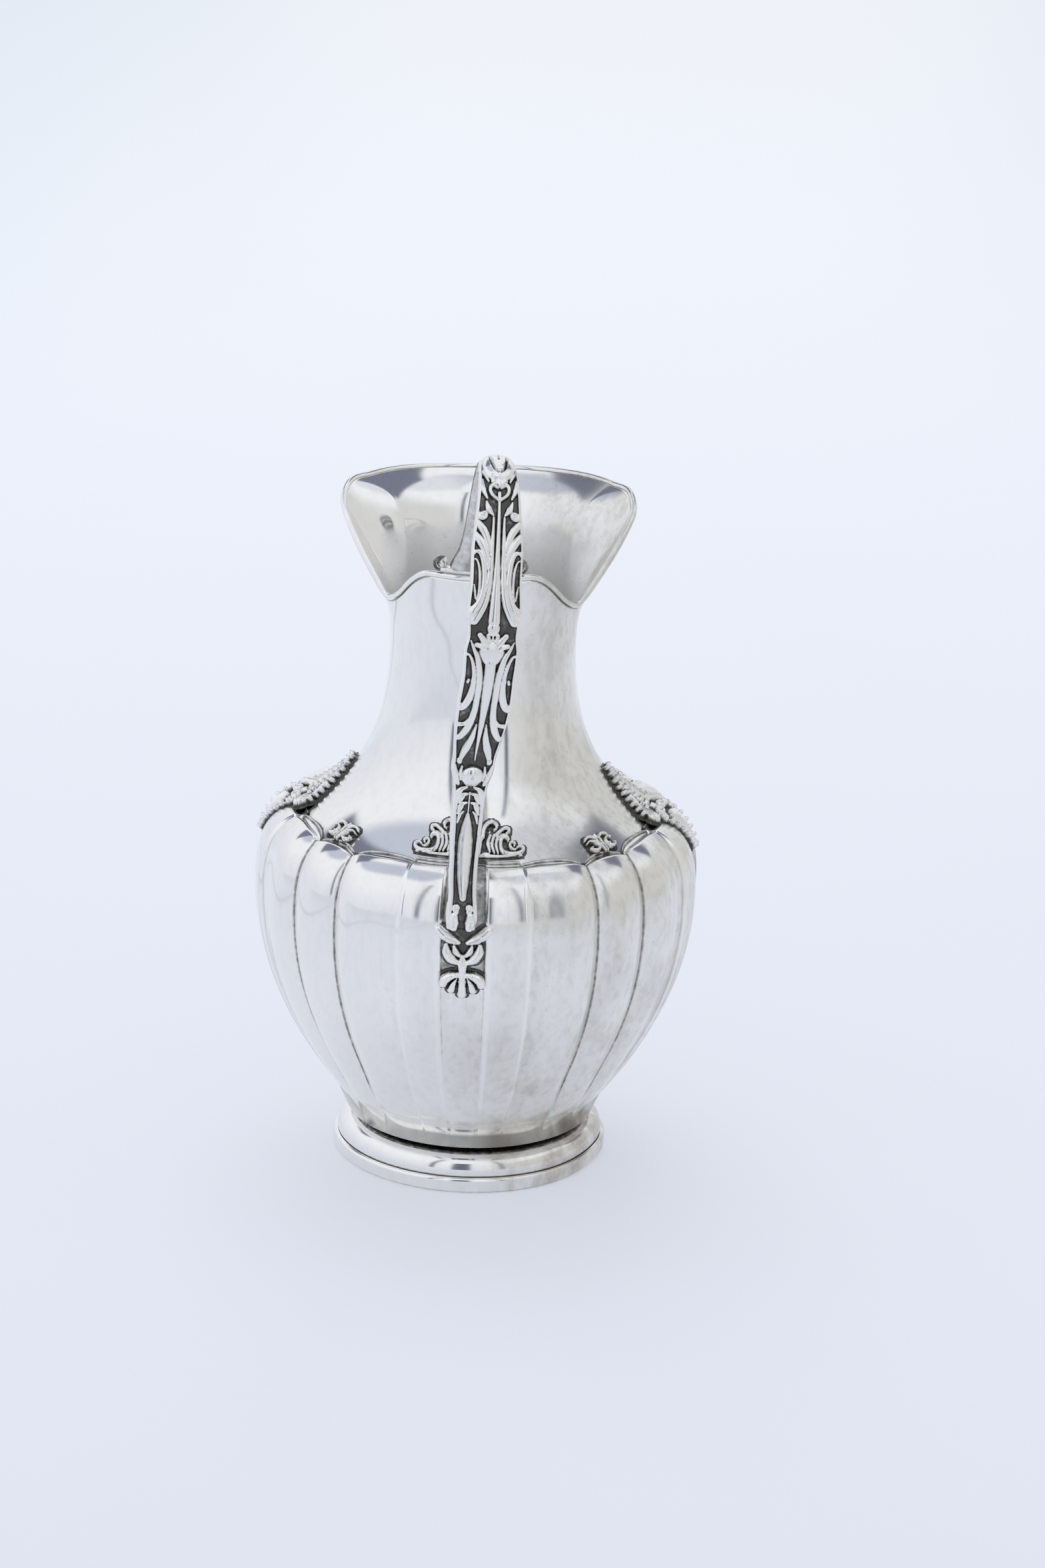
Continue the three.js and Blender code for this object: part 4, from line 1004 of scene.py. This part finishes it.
def cast_on(name, relief, line, angle, crown):
    """A closed casting whose relief lies along a line of the vessel's profile, at an angle round it."""
    footprint = np.pad((relief.height > CASTING_FLOOR + 0.05).astype(float), 3)
    for axis in (0, 1):
        footprint = np.maximum.reduce([np.roll(footprint, step, axis) for step in range(-3, 4)])
    footprint = footprint[3:-3, 3:-3]
    relief.height = np.where(footprint > 0, np.maximum(relief.height, CASTING_SKIRT), relief.height)
    # Black oxide in the hollows and painted shade on the flanks of the forms below the crown.
    dark = relief.oxide_and_painted_shade(0, crown)
    way_r, way_z = np.gradient(line[:, 0]), np.gradient(line[:, 1])
    length = np.hypot(way_r, way_z)
    out_r, out_z = (way_z / length)[:, None], (-way_r / length)[:, None]
    turn = angle + np.degrees(relief.across[None] / line[:, :1])
    skins = []
    for lift in (relief.height, np.full(relief.height.shape, CASTING_BACK)):
        skins.append(on_vessel(line[:, :1] + lift * out_r, line[:, 1:] + lift * out_z, turn))
    rows, columns = relief.height.shape
    solid = footprint > 0
    kept = solid[:-1, :-1] | solid[1:, :-1] | solid[:-1, 1:] | solid[1:, 1:]
    corner = np.arange(rows * columns).reshape(rows, columns)
    below = corner + rows * columns
    front = np.pad(kept, 1)
    faces = []

    def wall(missing, first, second):
        sides = np.stack([corner[second], corner[first], below[first], below[second]], -1)
        faces.append(sides[kept & ~missing])

    a, b = np.s_[:-1, :-1], np.s_[:-1, 1:]
    c, d = np.s_[1:, 1:], np.s_[1:, :-1]
    faces.append(np.stack([corner[a], corner[b], corner[c], corner[d]], -1)[kept])
    faces.append(np.stack([below[d], below[c], below[b], below[a]], -1)[kept])
    wall(front[:-2, 1:-1], a, b)
    wall(front[1:-1, 2:], b, c)
    wall(front[2:, 1:-1], c, d)
    wall(front[1:-1, :-2], d, a)
    used, faces = np.unique(np.concatenate(faces), return_inverse=True)
    points = np.concatenate([skin.reshape(-1, 3) for skin in skins])[used]
    # The walls and underside are black: painted shadow along the casting's edges.
    dark = np.concatenate([dark.ravel(), np.ones(dark.size)])[used]
    return make_mesh(name, points, faces.reshape(-1, 4), dark)


def field_for(half, length):
    """An empty field for a casting, as wide and long as it needs."""
    columns, rows = round(2 * half / CASTING_CELL) + 1, round(length / CASTING_CELL) + 1
    return Relief(np.linspace(-half, half, columns), np.linspace(0, length, rows), CASTING_FLOOR)


def line_for(points, rows):
    """A line of the profile through points, with one place for each row of a field."""
    line = smooth_line(points, 0.05)
    return np.stack([np.interp(np.linspace(0, 1, rows), np.linspace(0, 1, len(line)), c) for c in line.T], -1)


def bowl_radius(height):
    """The bowl's radius on its lobes at a height, below and above the belly."""
    down = (BELLY_HEIGHT - height) / (BELLY_HEIGHT - BASE_HEIGHT)
    below = BELLY_RADIUS - (BELLY_RADIUS - BASE_RADIUS) * down**2
    up = np.clip((height - BELLY_HEIGHT) / TURN_RISE, 0, 1) ** (1 / TURN_POWER)
    above = TURN_RADIUS + (BELLY_RADIUS - TURN_RADIUS) * np.sqrt(1 - up**2) ** TURN_POWER
    return np.where(height < BELLY_HEIGHT, below, above)


MOUNT_TOP = 110.5
MOUNT_LENGTH = 27.0

mount_field = field_for(10.5, MOUNT_LENGTH)
for points, widths, rise in (
    ([(0, 8.6), (0, 5), (0, 2.0)], [0.9, 1.6, 1.8], 2.8),
    ([(0.8, 8.6), (2.5, 6.2), (3.6, 3.7)], [0.8, 1.5, 1.7], 2.7),
    ([(1.0, 9.2), (3.5, 8.7), (5.5, 7.3), (6.3, 5.6)], [0.8, 1.6, 1.9, 1.7], 3.0),
    ([(0, 15.6), (0, 12.4), (0, 9.2)], [1.1, 2.0, 1.3], 2.6),
    ([(5.6, 19.6), (5.3, 17.0), (3.9, 14.8), (1.6, 13.5)], [1.0, 1.8, 1.9, 1.1], 2.9),
    ([(3.0, 19.2), (2.3, 17.4), (1.2, 16.2)], [0.8, 1.4, 1.0], 2.5),
    ([(1.4, 20.6), (4.0, 21.7), (6.6, 23.4), (8.1, 24.9)], [1.0, 1.9, 2.2, 2.0], 3.1),
    ([(0, 19.5), (0, 23), (0, 26.6)], [1.6, 2.0, 3.0], 0.3),
):
    mount_field.ridge(points, widths, rise)
mount_field.groove([(1.3, 8.0), (1.8, 5.2), (2.0, 2.4)], [0.3, 0.45, 0.4], 1.6)
mount_field.groove([(2.2, 8.0), (4.0, 6.2), (5.0, 3.8)], [0.3, 0.45, 0.4], 1.6)
mount_field.groove([(2.4, 20.8), (5.4, 22.4)], [0.35, 0.3], 0.9)
mount_heights = np.linspace(MOUNT_TOP - MOUNT_LENGTH, MOUNT_TOP, len(mount_field.along))
mount_line = np.stack([bowl_radius(mount_heights) - PANEL_DEPTH + 0.3, mount_heights], -1)
mount = cast_on("lower_mount", mount_field, mount_line, 0, 1.9)
hand_over(mount, "handle_lower_mount", cast_silver)

# Rear crest: a pair of cast leaf scrolls behind the handle's foot, on a small moulding. It is soldered to
# the shoulder just above the bowl's edge.

CREST_LINE = ((58.8, 127.5), (54, 130.9), (50, 134.3), (46.6, 137.8))
CREST_HALF_WIDTH = 20.0
CREST_LENGTH = 15.6

crest_field = field_for(CREST_HALF_WIDTH, CREST_LENGTH)
for points, widths, rise in (
    ([(0, 0.8), (6, 0.7), (12, 0.6), (18, 0.7)], [0.7, 0.7, 0.5, 0.4], 1.5),
    ([(5.3, 1.1), (6.6, 1.1)], [0.9, 0.8], 1.9),
    ([(0, 1.4), (0, 8), (0, 13)], [2.6, 2.8, 1.4], 1.4),
    ([(3.2, 1.8), (3.2, 6), (4.2, 9)], [0.9, 1.2, 0.8], 1.6),
    ([(10.6, 8.2), (10.5, 5.3), (11.1, 2.9), (12.5, 1.6), (14.7, 1.1), (17.0, 1.4), (18.3, 2.6), (18.1, 3.9),
      (16.9, 4.3), (16.3, 3.7)],
     [0.9, 0.7, 0.7, 0.75, 0.8, 0.8, 0.8, 0.7, 0.6, 0.5], 2.3),
    ([(15.8, 3.0), (14.9, 3.0), (14.0, 3.8), (13.6, 5.2), (14.3, 6.1), (15.2, 5.5), (15.2, 4.5)],
     [0.4, 0.5, 0.55, 0.55, 0.55, 0.5, 0.4], 2.0),
    ([(9.8, 7.4), (11.5, 8.4), (12.8, 7.4), (13.0, 6.6)], [0.8, 1.1, 0.8, 0.4], 2.4),
    ([(7.1, 2.2), (6.2, 5.8), (6.7, 8.8)], [0.4, 0.7, 0.6], 1.9),
    ([(8.6, 1.9), (7.6, 5.2), (8.1, 8.9)], [0.4, 0.6, 0.6], 1.9),
    ([(9.9, 1.7), (9.0, 4.9), (9.3, 8.4)], [0.4, 0.6, 0.6], 1.9),
    ([(8.6, 8.8), (10.0, 10.2), (11.4, 11.3), (12.6, 11.2), (12.9, 10.1), (12.2, 9.5)],
     [0.7, 0.8, 0.8, 0.75, 0.65, 0.5], 2.3),
    ([(4.4, 8.0), (4.6, 11.2), (5.8, 13.3), (7.3, 13.7), (8.6, 12.6), (8.6, 11.3), (8.0, 10.9)],
     [0.7, 0.8, 0.85, 0.85, 0.8, 0.7, 0.5], 2.3),
    ([(6.4, 13.6), (6.8, 14.8)], [0.5, 0.4], 1.6),
):
    crest_field.ridge(points, [1.25 * width for width in widths], rise)
crest = cast_on("rear_crest", crest_field, line_for(CREST_LINE, len(crest_field.along)), 0, 1.6)
hand_over(crest, "rear_crest", cast_silver)

# Corner sprays: four small castings, each a pair of curled leaves on a stem, soldered to the shoulder above
# the bowl's corner lobes.

SPRAY_LINE = ((62.6, 125.5), (58.4, 127.7), (54.4, 130.2))
SPRAY_HALF_WIDTH = 7.6
SPRAY_LENGTH = 10.2
SPRAY_ANGLES = (48, 132, 228, 312)

for number, spray_angle in enumerate(SPRAY_ANGLES, 1):
    spray_field = field_for(SPRAY_HALF_WIDTH, SPRAY_LENGTH)
    for points, widths, rise in (
        ([(5.5, 5.9), (4.2, 6.4), (2.6, 5.7), (1.9, 4.0), (2.6, 2.3), (4.1, 1.8), (5.4, 2.5), (5.5, 3.6)],
         [0.5, 0.65, 0.7, 0.75, 0.75, 0.7, 0.6, 0.4], 2.5),
        ([(4.0, 3.9), (4.1, 4.2)], [0.4, 0.4], 1.4),
        ([(0.55, 0.9), (0.6, 4), (0.9, 7)], [0.4, 0.5, 0.45], 1.9),
        ([(0.9, 7.3), (2.4, 8.4), (4.2, 8.3), (5.5, 7.3)], [0.6, 0.95, 0.85, 0.4], 2.2),
        ([(0, 7.6), (0, 9.1)], [0.7, 0.5], 1.9),
    ):
        spray_field.ridge(points, widths, rise)
    spray = cast_on(
        f"corner_spray_{number}", spray_field, line_for(SPRAY_LINE, len(spray_field.along)), spray_angle, 1.9
    )
    hand_over(spray, f"corner_spray_{number}", cast_silver)

# Plaques: three large cast ornaments on the sides and front, each a ribbed shell between scrolls with a
# toothed and beaded border and a long veined leaf above. They lie over the bowl's edge and are soldered
# to bowl and shoulder.

PLAQUE_LINE = (
    (75.4, 114.0), (73.3, 119.2), (69.9, 123.6), (65.4, 126.6), (60.5, 127.9), (56, 129.8), (50, 134.5),
    (46, 138.8), (43, 142.8),
)
PLAQUE_HALF_WIDTH = 14.5
PLAQUE_WIDTHS = (
    (0, 0.08), (0.1, 0.3), (0.2, 0.48), (0.3, 0.64), (0.4, 0.78), (0.45, 1), (0.5, 0.95), (0.75, 0.52),
    (1, 0.1),
)
PLAQUE_REACH = 12.0
PLAQUE_NODES = {"plaque_right": 90, "plaque_front": 180, "plaque_left": 270}

plaque_length = len(smooth_line(PLAQUE_LINE, 0.1)) * 0.1


def plaque_edge(share):
    """Half the plaque's width at a share of its length."""
    return PLAQUE_REACH * np.interp(share, *zip(*PLAQUE_WIDTHS))


for node, plaque_angle in PLAQUE_NODES.items():
    plaque_field = field_for(PLAQUE_HALF_WIDTH, plaque_length)
    edge_line = plaque_edge(plaque_field.along / plaque_length)[:, None]
    inside_edge = np.abs(plaque_field.across)[None] < 0.92 * edge_line
    plaque_field.height = np.where(inside_edge, 0.0, plaque_field.height)
    for share in np.linspace(0.53, 0.98, 9):
        reach, up = plaque_edge(share), share * plaque_length
        root_of_tooth = (reach - 2.2 * min(1, reach / 4), up - 1.4)
        tooth = [root_of_tooth, (reach - 0.8, up - 0.6), (reach + 0.3, up + 0.2)]
        plaque_field.ridge(tooth, [0.4, 0.7, 0.98], 2.7)
    lip = [(plaque_edge(share) - 0.5, share * plaque_length) for share in np.linspace(0.03, 0.36, 7)]
    plaque_field.ridge(lip, [0.5, 0.55, 0.5], 1.5)
    for x, y in lip:
        plaque_field.ridge([(x + 0.2, y), (x + 0.3, y + 0.3)], [0.9, 0.9], 2.7)
    for points, widths, rise in (
        ([(6.4, 24.8), (8.8, 22.2), (10.6, 20.2), (11.3, 19.0)], [0.9, 1.5, 1.8, 1.5], 3.0),
        (curl(7.9, 17.4, 1.5, 60, 1.1), [0.6, 0.55, 0.45], 2.6),
        (curl(3.9, 19.4, 2.0, 160, 1.2), [0.8, 0.7, 0.5], 2.6),
        ([(6.9, 25.6), (4.8, 30), (2.6, 36.5)], [0.4, 0.6, 0.4], 2.2),
        ([(4.2, 23.4), (2.9, 28.5), (1.9, 33)], [0.5, 0.6, 0.35], 2.5),
    ):
        plaque_field.ridge(points, widths, rise)
    for spread in (0.15, 0.55, 1):
        rib = [(0.4, 3.5), (2.8 * spread, 9.5), (4.9 * spread, 16 - 2 * spread)]
        plaque_field.ridge(rib, [0.35, 0.5, 0.7], 2.2)
    plaque_field.leaf([(0, 21), (0, 32), (0, plaque_length - 1)], [0.9, 1.2, 0.6], 2.9)
    plaque_field.groove([(8.0, 23), (10.4, 20.3)], [0.35, 0.45], 1.3)
    for up in np.arange(23, plaque_length - 5, 2.4):
        plaque_field.groove([(0.3, up), (1.6, up + 1.3), (4.2, up + 2.1)], [0.3, 0.45, 0.4], 1.7)
    plaque = cast_on(
        f"{node}_ornament", plaque_field, line_for(PLAQUE_LINE, len(plaque_field.along)), plaque_angle, 2.15
    )
    hand_over(plaque, node, cast_silver)

# Studio: a pale floor, soft light from above, and white screens all round with dark gaps between them,
# which the silver mirrors. The camera stands behind the handle and looks down on the jug.

FLOOR_COLOUR = (0.80, 0.83, 0.905, 1)
FLOOR_SIDE = 40
# Painted shade on the floor near the camera, and painted light far off.
NEAR_PAINTED_SHADE = (0.70, 0.73, 0.82, 1)
PAPER_COLOUR = (0.80, 0.83, 0.915, 1)
FAR_PAINTED_LIGHT = (0.87, 0.895, 0.945, 1)
SIDE_COLOUR = (0.77, 0.825, 0.90, 1)
SHADOW_SHARE = 0.45
GLOW_FADE_START = 0.3
GLOW_FADE_END = 3.2
SEAM_PLACE = 0.37
SEAM_WIDTH = 0.009
SEAM_COLOUR = (0.25, 0.26, 0.29, 1)
SCREEN_COLOUR = (0.92, 0.945, 1.0, 1)
GAP_COLOUR = (0.13, 0.15, 0.21, 1)
CORNER_COLOUR = (0.19, 0.205, 0.28, 1)
CEILING_COLOUR = (0.56, 0.60, 0.72, 1)
RIGHT_COLOUR = (0.70, 0.705, 0.71, 1)
LAMP_SIDE = 2.0
LAMP_PLACE = (-0.4, 1.6, 2.4)
LAMP_POWER = 24
ROOM_LIGHT = 0.84
LENS = 105.03
CAMERA_PLACE = (0.0737, -1.5062, 0.6463)
CAMERA_YAW = math.radians(-2.225)
CAMERA_PITCH = math.radians(18.74)
CAMERA_ROLL = math.radians(1.85)


def rays(start):
    """Whether a ray comes off polished metal, and whether it is one that the background is seen by."""
    kinds = ("Is Camera Ray", "Is Glossy Ray", "Is Transmission Ray")
    camera_ray, glossy, clear = (start.node("ShaderNodeLightPath", {}, {}, kind) for kind in kinds)
    return glossy, camera_ray.most(glossy).most(clear)


floor_mesh = bpy.data.meshes.new("floor")
half = FLOOR_SIDE / 2
floor_mesh.from_pydata(
    [(-half, -half, 0), (half, -half, 0), (half, half, 0), (-half, half, 0)], [], [(0, 1, 2, 3)]
)
floor = bpy.data.objects.new("floor", floor_mesh)
bpy.context.scene.collection.objects.link(floor)
floor_paper = bpy.data.materials.new("floor_paper")
floor_paper.use_nodes = True
floor_paper.node_tree.nodes.clear()
start = Flow(floor_paper.node_tree)
place = start.node("ShaderNodeTexCoord", {}, {}, "Object")
floor_x, floor_y, _ = place.axes()
glossy, seen_ray = rays(start)
grain = start.node("ShaderNodeTexNoise", {}, {"Vector": place, "Scale": 5.0, "Detail": 3.0})
seam = (1 - (abs(floor_x + SEAM_PLACE) / SEAM_WIDTH).least(1)) * glossy
paper_colour = seam.blend((0.97 + 0.06 * grain).blend((0, 0, 0, 1), FLOOR_COLOUR), SEAM_COLOUR)
paper = start.node("ShaderNodeBsdfPrincipled", {}, {"Base Color": paper_colour, "Roughness": 0.9})
# The floor glows for camera and mirror rays with painted light: darker near the camera, paler far behind, a
# little darker at the sides, and greyer on the right in mirrors. Near the jug only part of it glows, which
# paints its shadow lighter.
back_colour = floor_y.smooth(0.1, 1.6).blend(PAPER_COLOUR, FAR_PAINTED_LIGHT)
glow_colour = floor_y.smooth(-0.9, 0.1).blend(NEAR_PAINTED_SHADE, back_colour)
glow_colour = (abs(floor_x).smooth(0.12, 0.6) * floor_y.smooth(0.2, 1.4)).blend(glow_colour, SIDE_COLOUR)
glow_colour = (floor_x.smooth(0.1, 0.7) * glossy).blend(glow_colour, RIGHT_COLOUR)
painted_glow = start.node("ShaderNodeEmission", {}, {"Color": seam.blend(glow_colour, SEAM_COLOUR)})
far = (floor_x * floor_x + floor_y * floor_y) ** 0.5
glow_share = (1 - SHADOW_SHARE * (1 - far.smooth(GLOW_FADE_START, GLOW_FADE_END))) * seen_ray
surface = start.node("ShaderNodeMixShader", {}, {0: glow_share, 1: paper, 2: painted_glow})
start.node("ShaderNodeOutputMaterial", {}, {"Surface": surface}, None)
floor_mesh.materials.append(floor_paper)

lamp_data = bpy.data.lights.new("overhead_softbox", "AREA")
lamp_data.size = LAMP_SIDE
lamp_data.energy = LAMP_POWER
lamp = bpy.data.objects.new("overhead_softbox", lamp_data)
lamp.location = LAMP_PLACE
lamp.visible_glossy = False
bpy.context.scene.collection.objects.link(lamp)

world = bpy.data.worlds.new("screens")
world.use_nodes = True
bpy.context.scene.world = world
world.node_tree.nodes.clear()
start = Flow(world.node_tree)
way = start.node("ShaderNodeTexCoord", {}, {}, "Generated")
way_x, way_y, way_z = way.axes()
to_right = start.maths("DEGREES", start.maths("ARCTAN2", way_x - 0.04, 0 - way_y))
bearing = abs(to_right)
climb = start.maths("DEGREES", start.maths("ARCSINE", way_z))


def gap(value, low, high, soft):
    """1 between low and high degrees, with soft edges."""
    return value.smooth(low - soft, low + soft) * (1 - value.smooth(high - soft, high + soft))


opening = gap(to_right, -13, 2.5, 0.6) * gap(climb, -2, 40, 0.6)
slits = gap(bearing, 28, 32, 0.8) * gap(climb, 1, 60, 2)
corners = gap(bearing, 122, 162, 3) * gap(climb, 34, 60, 2)
above = way_z.most(0.05)
ceiling_x, ceiling_y = way_x / above, way_y / above - 0.4
ceiling = 1 - ((ceiling_x * ceiling_x + ceiling_y * ceiling_y) ** 0.5).smooth(0.72, 0.94)
ceiling = ceiling * (1 - 0.55 * way_x.smooth(0.05, 0.4)) * gap(bearing, 44, 128, 9)
right_wall = way_x.smooth(0.2, 0.8) * (1 - climb.smooth(28, 46))
screens = climb.smooth(-4, 40).blend(PAPER_COLOUR, SCREEN_COLOUR)
screens = ceiling.blend(right_wall.blend(screens, RIGHT_COLOUR), CEILING_COLOUR)
screens = corners.blend(screens, CORNER_COLOUR)
screens = opening.most(slits).blend(screens, GAP_COLOUR)
_, seen_ray = rays(start)
seen_light = start.node("ShaderNodeBackground", {}, {"Color": screens, "Strength": 1.0})
room_light = start.node("ShaderNodeBackground", {}, {"Color": SCREEN_COLOUR, "Strength": ROOM_LIGHT})
both = start.node("ShaderNodeMixShader", {}, {0: seen_ray, 1: room_light, 2: seen_light})
start.node("ShaderNodeOutputWorld", {}, {"Surface": both}, None)

from mathutils import Matrix, Vector

camera_data = bpy.data.cameras.new("camera")
camera_data.lens = LENS
camera_data.sensor_width = 36
camera = bpy.data.objects.new("camera", camera_data)
ahead = Vector((
    math.sin(CAMERA_YAW) * math.cos(CAMERA_PITCH),
    math.cos(CAMERA_YAW) * math.cos(CAMERA_PITCH),
    -math.sin(CAMERA_PITCH),
))
right = Vector((math.cos(CAMERA_YAW), -math.sin(CAMERA_YAW), 0))
up = right.cross(ahead)
rolled_right = right * math.cos(CAMERA_ROLL) + up * math.sin(CAMERA_ROLL)
rolled_up = up * math.cos(CAMERA_ROLL) - right * math.sin(CAMERA_ROLL)
turned = Matrix((rolled_right, rolled_up, -ahead)).transposed()
place = Vector(CAMERA_PLACE) + Vector((axis_x, axis_y, 0))
camera.matrix_world = Matrix.Translation(place) @ turned.to_4x4()
bpy.context.scene.collection.objects.link(camera)
bpy.context.scene.camera = camera
bpy.context.scene.view_settings.view_transform = "Standard"
